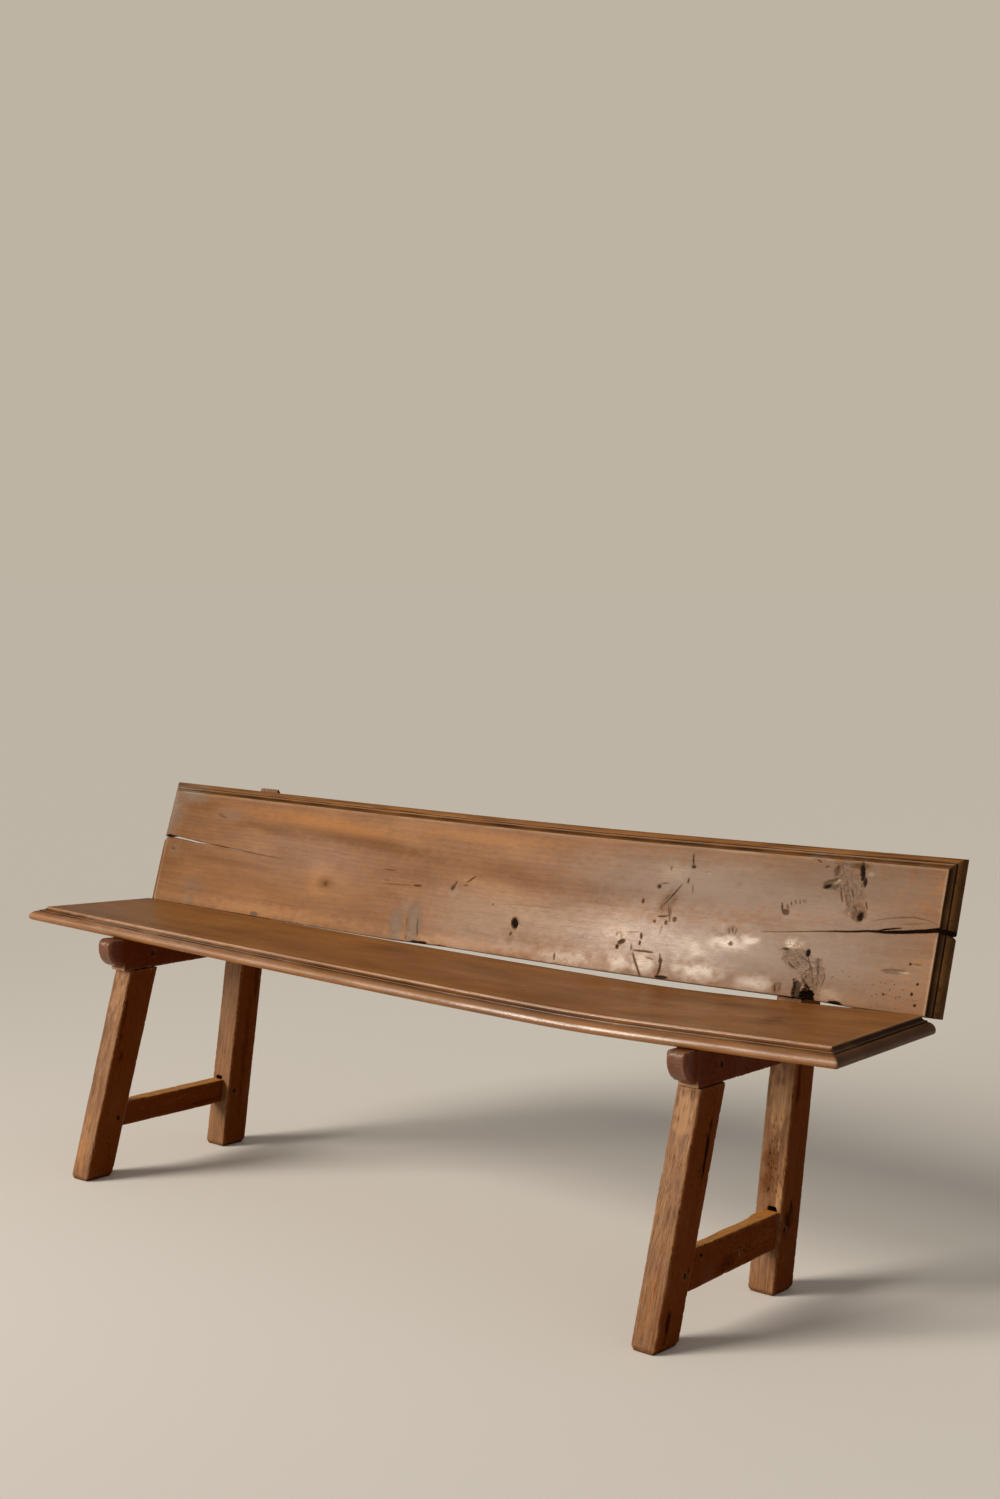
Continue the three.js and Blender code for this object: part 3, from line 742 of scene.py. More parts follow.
@dataclass(frozen=True)
class Split:
    """Open split in a board, from one end to the other, in millimetres.

    Stations are places along, across and the opening there. The split goes down to its bottom
    and climbs by its slant on the way through the board.
    """

    stations: tuple[tuple[float, float, float], ...]
    bottom: float
    slant: float = 0.0
    above: float = 20.0
    through: float = 25.5
    # How dark the split's walls and lips are painted: grime and painted shade in the gap.
    dirt: float = 0.97

    def share(self, x: np.ndarray, up: np.ndarray) -> np.ndarray:
        """Find where the split's dark walls and lips lie.

        Args:
            x: Places along the board.
            up: Places across the board.

        Returns:
            1 inside the split and on its lips, 0 away from it.
        """
        along, middle, opening = (np.array(column) for column in zip(*self.stations))
        width = np.interp(x, along, opening)
        away = np.abs(up - np.interp(x, along, middle)) - 0.5 * width
        away = np.maximum(away, np.maximum(along[0] - x, x - along[-1]))
        return np.clip(1.15 - away / 0.9, 0, 1) * np.clip(0.15 + 0.24 * width, 0, 1)

    def cutter(self) -> bpy.types.Object:
        """Make the body that opens the split.

        Returns:
            The body.
        """
        body = bmesh.new()
        bmesh.ops.create_grid(body, x_segments=len(self.stations) - 1, y_segments=1, size=0.5)
        columns = sorted(body.verts, key=lambda vert: (round(vert.co.x, 4), vert.co.y))
        rise = self.slant / self.through
        for index, (x, up, opening) in enumerate(self.stations):
            low, high = columns[2 * index:2 * index + 2]
            low.co = (x, up - opening / 2 - rise * self.above, self.above)
            high.co = (x, up + opening / 2 - rise * self.above, self.above)
        made = bmesh.ops.extrude_face_region(body, geom=body.faces[:])["geom"]
        verts = [item for item in made if isinstance(item, bmesh.types.BMVert)]
        drop = self.above - self.bottom
        bmesh.ops.translate(body, vec=(0, rise * drop, -drop), verts=verts)
        bmesh.ops.recalc_face_normals(body, faces=body.faces)
        return make_object("split", body)


@dataclass(frozen=True)
class EdgeTones:
    """How strongly the moulded edge shines, and is rubbed, bleached, waxed, smoked, streaked, with
    painted highlights and painted shade.

    The end fields paint shade on the moulded end that is turned from the light.
    """

    gloss: float
    gloss_x: float
    # Cove: smoke and painted shade. Fillet, nose and top arris: wear and painted highlights.
    cove_smoke: float
    fillet_rub: float
    nose_rub: float
    nose_ash: float
    nose_gold: float
    nose_smoke: float
    streaks: float
    gloss_reach: float = 280.0
    top_rub: float = 0.40
    # The plain long edge is painted darker.
    plain_dirt: float = 0.45
    # The end turned from the light: its gloss, and its painted shade.
    end_gloss: float = 0.6
    end_smoke: float = 0.85
    end_nose_dirt: float = 0.45
    end_nose_shade_most: float = 0.36
    end_cove_dirt: float = 1.2
    end_cove_shade_most: float = 0.76


@dataclass
class Board:
    """Moulded board: plain along one long edge, moulded round the other three."""

    name: str
    node: str
    finish: WoodFinish
    length: float
    width: float
    moulding: Moulding
    edge_tones: EdgeTones
    hollows: tuple[Hollow, ...] = ()
    cracks: tuple[Crack, ...] = ()
    splits: tuple[Split, ...] = ()
    # Which end, by the sign of x, is turned from the light and painted in shade.
    end_turned_from_light: int = 0
    cell: float = 4.8
    finer: int = 3
    near_crack: float = 3.0
    underside_cells: int = 60
    plain_edge_turn: float = 1.2
    plain_edge_round: float = 1.1
    face_depth: float = 0.05
    hand_depth: float = 0.28
    dent_from: float = 0.3
    dent_depth: float = 1.1
    dent_reach: float = 2.0
    sharp_angle: float = 32.0
    board_shift: float = 9.0
    seed: float = 3.0

    def place(self, flat: np.ndarray) -> np.ndarray:
        """Bend flat points on to the bench, each board in its own way."""
        raise NotImplementedError

    def close_up(self) -> list[tuple[float, float, float, float]]:
        """Find the boxes on the face that need finer cells.

        Returns:
            Low and high x, and low and high up, of each box.
        """
        boxes = [(spot.x - spot.half_x, spot.x + spot.half_x, spot.up - spot.half_up,
                  spot.up + spot.half_up) for spot in self.hollows if spot.depth]
        for crack in self.cracks:
            xs, ups = zip(*crack.points)
            boxes.append((min(xs) - self.near_crack, max(xs) + self.near_crack,
                          min(ups) - self.near_crack, max(ups) + self.near_crack))
        for split in self.splits:
            for (x0, up0, open0), (x1, up1, open1) in zip(split.stations, split.stations[1:]):
                half = 0.5 * max(open0, open1)
                boxes.append((x0, x1, min(up0, up1) - half, max(up0, up1) + half))
        return boxes

    def shape(self) -> bmesh.types.BMesh:
        """Make the flat closed body.

        Returns:
            The body in millimetres, face up at z = 0.
        """
        body = bmesh.new()
        profile = self.moulding.profile()
        out, down = profile[0]
        length, width = self.length + 2 * out, self.width + out
        bmesh.ops.create_grid(
            body, x_segments=round(length / self.cell), y_segments=round(width / self.cell),
            size=0.5, matrix=Matrix.LocRotScale(
                Vector((0, width / 2, 0)), None, Vector((length, width, 1))))
        boxes = self.close_up()
        near = self.cell

        def inside(point: Vector) -> bool:
            """Tell whether a point lies in a box that needs finer cells."""
            return any(low_x - near < point.x < high_x + near
                       and low_up - near < point.y < high_up + near
                       for low_x, high_x, low_up, high_up in boxes)

        fine = {vert for vert in body.verts if inside(vert.co)}
        edges = [edge for edge in body.edges if all(vert in fine for vert in edge.verts)]
        if edges:
            bmesh.ops.subdivide_edges(body, edges=edges, cuts=self.finer, use_grid_fill=True)
        edges = [edge for edge in body.edges if edge.is_boundary]
        for next_out, next_down in profile[1:]:
            made = bmesh.ops.extrude_edge_only(body, edges=edges)["geom"]
            verts = [item for item in made if isinstance(item, bmesh.types.BMVert)]
            edges = [item for item in made
                     if isinstance(item, bmesh.types.BMEdge) and item.is_boundary]
            stretch = ((self.length + 2 * next_out) / (self.length + 2 * out),
                       (self.width + next_out) / (self.width + out), 1)
            bmesh.ops.scale(body, vec=stretch, verts=verts)
            bmesh.ops.translate(body, vec=(0, 0, down - next_down), verts=verts)
            out, down = next_out, next_down
        faces = bmesh.ops.edgeloop_fill(body, edges=edges)["faces"]
        for x in np.arange(-0.5, 0.5, 1 / self.underside_cells)[1:] * self.length:
            around = {item for face in faces for item in (*face.verts, *face.edges, face)}
            cut = bmesh.ops.bisect_plane(body, geom=list(around), dist=0.01,
                                         plane_co=(x, 0, 0), plane_no=(1, 0, 0))["geom"]
            faces = [item for item in cut if isinstance(item, bmesh.types.BMFace)
                     and item.calc_center_median().x > x]
        plain = [edge for edge in body.edges
                 if len(edge.link_faces) == 2 and edge.calc_face_angle(0) > self.plain_edge_turn
                 and all(abs(vert.co.y) < 1e-4 for vert in edge.verts)]
        bmesh.ops.bevel(body, geom=plain, offset=self.plain_edge_round, offset_type="OFFSET",
                        segments=2, profile=0.5, affect="EDGES", material=-1)
        bmesh.ops.recalc_face_normals(body, faces=body.faces)
        return body

    def roughs(self, flat: np.ndarray) -> tuple[np.ndarray, np.ndarray]:
        """Sample the noise that makes outlines ragged.

        Args:
            flat: Points of the flat board.

        Returns:
            Coarse and fine noise at the points.
        """
        coarse = value_noise(flat, (16, 9, 9), self.seed)
        fine = value_noise(flat, (5, 3.2, 3.2), self.seed + 7)
        return coarse + 0.5 * fine, fine

    def relief(self, flat: np.ndarray) -> np.ndarray:
        """Sink hollows and cracks into the face and wear the edges.

        Args:
            flat: Points of the flat board.

        Returns:
            The points after wear.
        """
        sunk = flat.copy()
        on_face = flat[:, 2] > -self.face_depth
        face, sides = np.nonzero(on_face)[0], np.nonzero(~on_face)[0]
        sunk[face, 2] -= self.face_depths(flat[face])
        sunk[sides] -= self.side_dents(flat[sides])
        return sunk

    def face_depths(self, flat: np.ndarray) -> np.ndarray:
        """Find how deep the hollows, the cracks and the hand work lie.

        Args:
            flat: Points of the face.

        Returns:
            Their depths.
        """
        x, up = flat[:, 0], flat[:, 1]
        ragged, fine = self.roughs(flat)
        depth = np.zeros(len(flat))
        for spot in self.hollows:
            if not spot.depth:
                continue
            share = spot.share(x, up, ragged)
            torn = 0.35 + 0.65 * spot.grooves(x, up, share) if spot.flutes else 1.0
            depth = np.maximum(depth, share * torn * spot.depth)
        for crack in self.cracks:
            depth = np.maximum(depth, crack.share(x, up, fine) * crack.depth)
        hand = value_noise(flat, (85, 34, 34), self.seed + 11)
        return depth + self.hand_depth * (1 + hand)

    def side_dents(self, flat: np.ndarray) -> np.ndarray:
        """Find how far dents push the long edges and the ends in.

        Args:
            flat: Points below the face.

        Returns:
            The dents, as vectors outwards.
        """
        dents = value_noise(flat, (26, 14, 6), self.seed + 19)
        dents = np.clip(dents - self.dent_from, 0, 1) * self.dent_depth
        away = flat - np.array([0, self.width / 2, 0])
        for axis, size in ((0, self.length), (1, self.width)):
            near_edge = np.abs(away[:, axis]) > size / 2 - self.dent_reach
            away[:, axis] = np.where(near_edge, away[:, axis], 0)
        away[:, 2] = 0
        size = np.linalg.norm(away, axis=1)
        return away / np.where(size > 0, size, 1)[:, None] * dents[:, None]

    def paint(self, flat: np.ndarray) -> tuple[dict[Tone, np.ndarray], np.ndarray]:
        """Give each point its tones, and its place along torn fibres.

        Args:
            flat: Points of the flat board.

        Returns:
            One array per tone, and the places along and across the torn fibres.
        """
        tones = {tone: np.zeros(len(flat)) for tone in Tone}
        fibre = np.zeros_like(flat)
        face = np.nonzero(flat[:, 2] > -0.6 * self.moulding.thickness)[0]
        x, up = flat[face, 0], flat[face, 1]
        ragged, fine = self.roughs(flat[face])
        for spot in self.hollows:
            share = spot.share(x, up, ragged)
            for tone, strength in spot.tones:
                lay(tones, tone, share * strength, face)
            if spot.flutes:
                stronger = share > tones[Tone.TORN][face]
                own = np.column_stack([*spot.own_place(x, up), np.full(len(x), spot.x)])
                fibre[face[stronger]] = own[stronger]
                lay(tones, Tone.TORN, share, face)
        on_face = flat[face, 2] > -8
        # Cracks: grime and painted shade, with a smoky halo.
        for crack in self.cracks:
            dirt = crack.dirt * on_face
            halo = crack.halo * dirt
            lay(tones, Tone.DIRT_AND_SHADE, crack.share(x, up, fine) * dirt, face)
            lay(tones, Tone.SMOKE, crack.share(x, up, fine, crack.halo_reach) * halo, face)
        # Split walls and lips are painted near black: grime and painted shade in the gap.
        before_rear = (flat[:, 2] > 1 - self.moulding.thickness) * 1.0
        for split in self.splits:
            lean = -split.slant / split.through * flat[:, 2]
            inside = split.share(flat[:, 0], flat[:, 1] - lean) * before_rear
            lay(tones, Tone.DIRT_AND_SHADE, split.dirt * inside)
        out = np.maximum(np.abs(flat[:, 0]) - self.length / 2, flat[:, 1] - self.width)
        self.tone_edges(tones, out, -flat[:, 2], flat)
        return tones, fibre

    def tone_edges(self, tones: dict[Tone, np.ndarray], out: np.ndarray, down: np.ndarray,
                   flat: np.ndarray) -> None:
        """Darken the cove and the quirk with grime and painted shade, rub the fillet and the nose
        and paint highlights on them, and paint shade on the end turned from the light.

        Args:
            tones: Arrays that are changed in place.
            out: How far points lie outside the flat of the face.
            down: How far points lie below the face.
            flat: Points of the flat board.
        """
        shape, worn = self.moulding, self.edge_tones
        fade = 0.72 + 0.5 * value_noise(flat, (60, 40, 30), self.seed + 31)
        streaks = value_noise(flat, (120, 3, 3), self.seed + 37)
        cove = np.where(out > 0.3, np.clip(out / shape.cove_out, 0, 1), 0)
        cove = np.clip(1.5 * cove - 0.2, 0, 1) * (out < shape.cove_out - 0.4)
        fillet_end = shape.cove_out + shape.fillet_out
        quirk = ((np.abs(out - fillet_end) < 1.3) & (down > shape.cove_down + 0.4)
                 & (down < shape.cove_down + shape.quirk_down + 1.0))
        nose = (out > fillet_end + 1) & (down > 0)
        past_end = np.abs(flat[:, 0]) - self.length / 2
        # The moulded end turned from the light, painted in shade.
        shaded_end = (past_end > out - 0.3) & (flat[:, 0] * self.end_turned_from_light > 0) & (out > 0.3)
        end_shade = np.where(nose, np.clip(worn.end_nose_dirt * fade, 0, worn.end_nose_shade_most),
                            np.clip(worn.end_cove_dirt * fade, 0, worn.end_cove_shade_most))
        fillet = ((out > shape.cove_out - 0.6) & (out < fillet_end + 0.4)
                  & (np.abs(down - shape.cove_down) < 0.5))
        top_edge = (np.abs(out) < 0.8) & (down < 0.8)
        # Outer nose, where wear and painted highlights go.
        rubbed_and_highlight = (out > fillet_end + 0.45 * shape.nose_out) & (down < 0.8 * shape.thickness)
        in_cove = (out > 0.9) & (out < shape.cove_out + 0.3)
        plain_edge = (flat[:, 1] < 1.2) & (down > 1.5)
        # Coves and quirks: grime and painted shade. Fillet, top arris and nose: wear and painted
        # highlights. The plain edge is painted darker.
        for tone, values in (
                (Tone.DIRT_AND_SHADE, np.clip(cove * fade, 0, 0.85)),
                (Tone.DIRT_AND_SHADE, quirk * np.clip(1.2 * fade, 0, 0.9)),
                (Tone.DIRT_AND_SHADE, nose * np.clip(1.8 * streaks - 0.05, 0, 1) * worn.streaks),
                (Tone.DIRT_AND_SHADE, shaded_end * end_shade),
                (Tone.DIRT_AND_SHADE, plain_edge * worn.plain_dirt * fade),
                (Tone.RUB_AND_HIGHLIGHT, (fillet * worn.fillet_rub + top_edge * worn.top_rub) * fade),
                (Tone.RUB_AND_HIGHLIGHT, rubbed_and_highlight * worn.nose_rub * fade),
                (Tone.GOLD, rubbed_and_highlight * worn.nose_gold * fade),
                (Tone.ASH, rubbed_and_highlight * worn.nose_ash * fade),
                (Tone.SMOKE, rubbed_and_highlight * worn.nose_smoke * fade),
                (Tone.SMOKE, in_cove * worn.cove_smoke * fade)):
            lay(tones, tone, values)
        # The end turned from the light takes the smoky colour as painted shade.
        tones[Tone.SMOKE] = np.where(shaded_end, worn.end_smoke, tones[Tone.SMOKE])
        tones[Tone.ASH] = np.where(shaded_end, 0, tones[Tone.ASH])
        tones[Tone.RUB_AND_HIGHLIGHT] = np.where(shaded_end & nose, 0, tones[Tone.RUB_AND_HIGHLIGHT])
        near = np.exp(-((flat[:, 0] - worn.gloss_x) / worn.gloss_reach) ** 2)
        shiny = np.where(shaded_end, worn.end_gloss, worn.gloss * (0.15 + 0.85 * near))
        tones[Tone.GLOSS] = np.where(out > 0.3, shiny, tones[Tone.GLOSS])

    def build(self) -> None:
        """Model, cut, wear, paint and bend the board."""
        piece = make_object(self.name, self.shape())
        for split in self.splits:
            carve(piece, split.cutter())
        mesh = piece.data
        flat = read_vectors(mesh.vertices, "co")
        tones, fibre = self.paint(flat)
        worn = self.relief(flat)
        write_vector(mesh, "fibre", fibre)
        write_vector(mesh, "board", worn + np.array([0, 0, self.seed * self.board_shift]))
        for tone, values in tones.items():
            write_value(mesh, tone.value, values)
        write_points(mesh, self.place(worn) * MM)
        finish_piece(piece, self.finish, [self.node], self.sharp_angle)


def make_object(name: str, body: bmesh.types.BMesh) -> bpy.types.Object:
    """Turn a body into an object of the scene, and free the body.

    Args:
        name: Name of the object and of its mesh.
        body: The body.

    Returns:
        The object.
    """
    mesh = bpy.data.meshes.new(name)
    body.to_mesh(mesh)
    body.free()
    made = bpy.data.objects.new(name, mesh)
    bpy.context.scene.collection.objects.link(made)
    return made


def read_vectors(owners: bpy.types.bpy_prop_collection, name: str) -> np.ndarray:
    """Read a vector of each point of a mesh.

    Args:
        owners: The mesh's vertices or vertex normals.
        name: Name of the vector there.

    Returns:
        The vectors, one row each.
    """
    values = np.zeros(len(owners) * 3)
    owners.foreach_get(name, values)
    return values.reshape(-1, 3)


def write_points(mesh: bpy.types.Mesh, points: np.ndarray) -> None:
    """Move a mesh's points to new places."""
    mesh.vertices.foreach_set("co", points.ravel())
    mesh.update()


def write_vector(mesh: bpy.types.Mesh, name: str, values: np.ndarray) -> None:
    """Keep a vector with each point of a mesh."""
    mesh.attributes.new(name, "FLOAT_VECTOR", "POINT").data.foreach_set("vector", values.ravel())


def write_value(mesh: bpy.types.Mesh, name: str, values: np.ndarray) -> None:
    """Keep a number with each point of a mesh."""
    mesh.attributes.new(name, "FLOAT", "POINT").data.foreach_set("value", values)


def apply_modifiers(piece: bpy.types.Object) -> None:
    """Make the result of a piece's modifiers its own mesh.

    Args:
        piece: The piece, changed in place.
    """
    depsgraph = bpy.context.evaluated_depsgraph_get()
    made = bpy.data.meshes.new_from_object(piece.evaluated_get(depsgraph))
    piece.modifiers.clear()
    old = piece.data
    piece.data = made
    bpy.data.meshes.remove(old)


def carve(piece: bpy.types.Object, cutter: bpy.types.Object) -> None:
    """Take a cutter's body out of a piece, and drop the cutter.

    Args:
        piece: The piece, changed in place.
        cutter: The body to take out.
    """
    modifier = piece.modifiers.new("split", "BOOLEAN")
    modifier.operation = "DIFFERENCE"
    modifier.solver = "EXACT"
    modifier.object = cutter
    apply_modifiers(piece)
    old = cutter.data
    bpy.data.objects.remove(cutter)
    bpy.data.meshes.remove(old)


def finish_piece(piece: bpy.types.Object, finish: WoodFinish, nodes: Sequence[str],
                 sharp: float) -> None:
    """Dress a piece and tie it to the frame.

    Args:
        piece: Finished shape, in place.
        finish: Its wood.
        nodes: Nodes it stands for.
        sharp: Angle in degrees from which an edge looks sharp.
    """
    mesh = piece.data
    mesh.name = piece.name
    mesh.materials.clear()
    mesh.materials.append(materials[finish.slot])
    mesh.polygons.foreach_set("use_smooth", np.ones(len(mesh.polygons), bool))
    mesh.set_sharp_from_angle(angle=math.radians(sharp))
    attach(piece, ROOT)
    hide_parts(*nodes)
    log.info("%s: %d points", piece.name, len(mesh.vertices))


@dataclass
class SeatBoard(Board):
    """Seat board: lies face up, its plain edge at the rear, sagging and warped."""

    rear_y: float = 122.9
    top_z: float = 460.0
    sag: float = 8.5
    sag_x: float = 349.0
    front_left: float = 1.7
    front_right: float = -4.2
    rear_left: float = -8.3
    rear_right: float = 1.3

    def place(self, flat: np.ndarray) -> np.ndarray:
        """Bend flat points on to the trestles.

        Args:
            flat: Points of the flat board.

        Returns:
            The points' places on the bench, in millimetres.
        """
        x, forward = -flat[:, 0], flat[:, 1]
        end_share = 0.5 + x / self.length
        front = self.front_left + (self.front_right - self.front_left) * end_share
        rear = self.rear_left + (self.rear_right - self.rear_left) * end_share
        warp = rear + (front - rear) * forward / self.width
        z = self.top_z + warp - self.sag * bend_share(x, self.sag_x) + flat[:, 2]
        return np.column_stack([x, self.rear_y - forward, z])


@dataclass
class BackBoard(Board):
    """Back board: its plain edge below, leaning against the posts, split from both ends."""

    shift_x: float = -4.0
    edge_y: float = 139.9
    edge_z: float = 458.3
    sag_low: float = 6.0
    sag_high: float = 4.6
    sag_x: float = 119.0
    tilt: float = 7.4
    lean: float = math.radians(15.8)
    end_out: float = 2.4
    end_in: float = 3.0
    dip: float = 3.3

    def place(self, flat: np.ndarray) -> np.ndarray:
        """Lean flat points against the posts.

        Args:
            flat: Points of the flat board.

        Returns:
            The points' places on the bench, in millimetres.
        """
        x, up, inward = self.shift_x + flat[:, 0], flat[:, 1], -flat[:, 2]
        # The left end was sawn out of square: long below, short above.
        slant = np.clip((up - 100) / 140, 0, 1) * (self.end_out + self.end_in) - self.end_out
        x = x + slant * np.clip((-700 - x) / 180, 0, 1)
        # The lower edge comes down to the seat at both ends.
        ends = np.clip((-110 - x) / 130, 0, 1) + np.clip((x - 650) / 80, 0, 1)
        up = up - self.dip * ends * np.clip(1 - up / 40, 0, 1)
        low_share = 1 - up / self.width
        sag = self.sag_high + (self.sag_low - self.sag_high) * low_share
        raised = up - sag * bend_share(x, self.sag_x) + self.tilt * x / (self.length / 2)
        y = self.edge_y + raised * math.sin(self.lean) + inward * math.cos(self.lean)
        z = self.edge_z + raised * math.cos(self.lean) - inward * math.sin(self.lean)
        return np.column_stack([x, y, z])


BACK_SPLITS = (
    Split(((-940, 121, 14), (-890, 121, 13), (-882, 121.5, 11), (-875, 123.4, 7.4),
           (-866, 126.8, 5.6), (-858, 128, 5), (-845, 127.5, 4), (-826, 126.4, 3.4),
           (-808, 125.4, 3.2), (-793, 123.8, 3.8), (-770, 123.1, 3.4), (-755, 122.6, 2),
           (-748, 122.8, 0.9), (-728, 121.9, 0.8), (-700, 120.9, 1.2), (-660, 118.9, 1.2),
           (-630, 117.5, 0.8), (-600, 115.8, 0.6), (-574, 114.9, 0.5), (-530, 113.6, 0.3)),
          bottom=-60),
    Split(((560, 95.6, 0.3), (604, 99.6, 0.6), (640, 103.6, 0.8), (661, 106.0, 1.0),
           (680, 107.6, 1.2), (691, 109.0, 1.8), (712, 110.4, 2.0), (730, 112.4, 2.5),
           (746, 114.6, 2.4), (762, 115.6, 2.9), (780, 116.0, 3.5), (795, 117.6, 4.3),
           (812, 119.4, 4.6), (830, 122.0, 4.8), (846, 124.0, 5.4), (860, 126.6, 6.2),
           (876, 129.0, 7.4), (893, 131.5, 8.6), (940, 135.0, 8.6)), bottom=-60, slant=-11),
    Split(((764, 117.0, 1.0), (776, 120.0, 2.2), (790, 122.4, 1.9), (804, 124.9, 0.9)),
          bottom=-7),
)

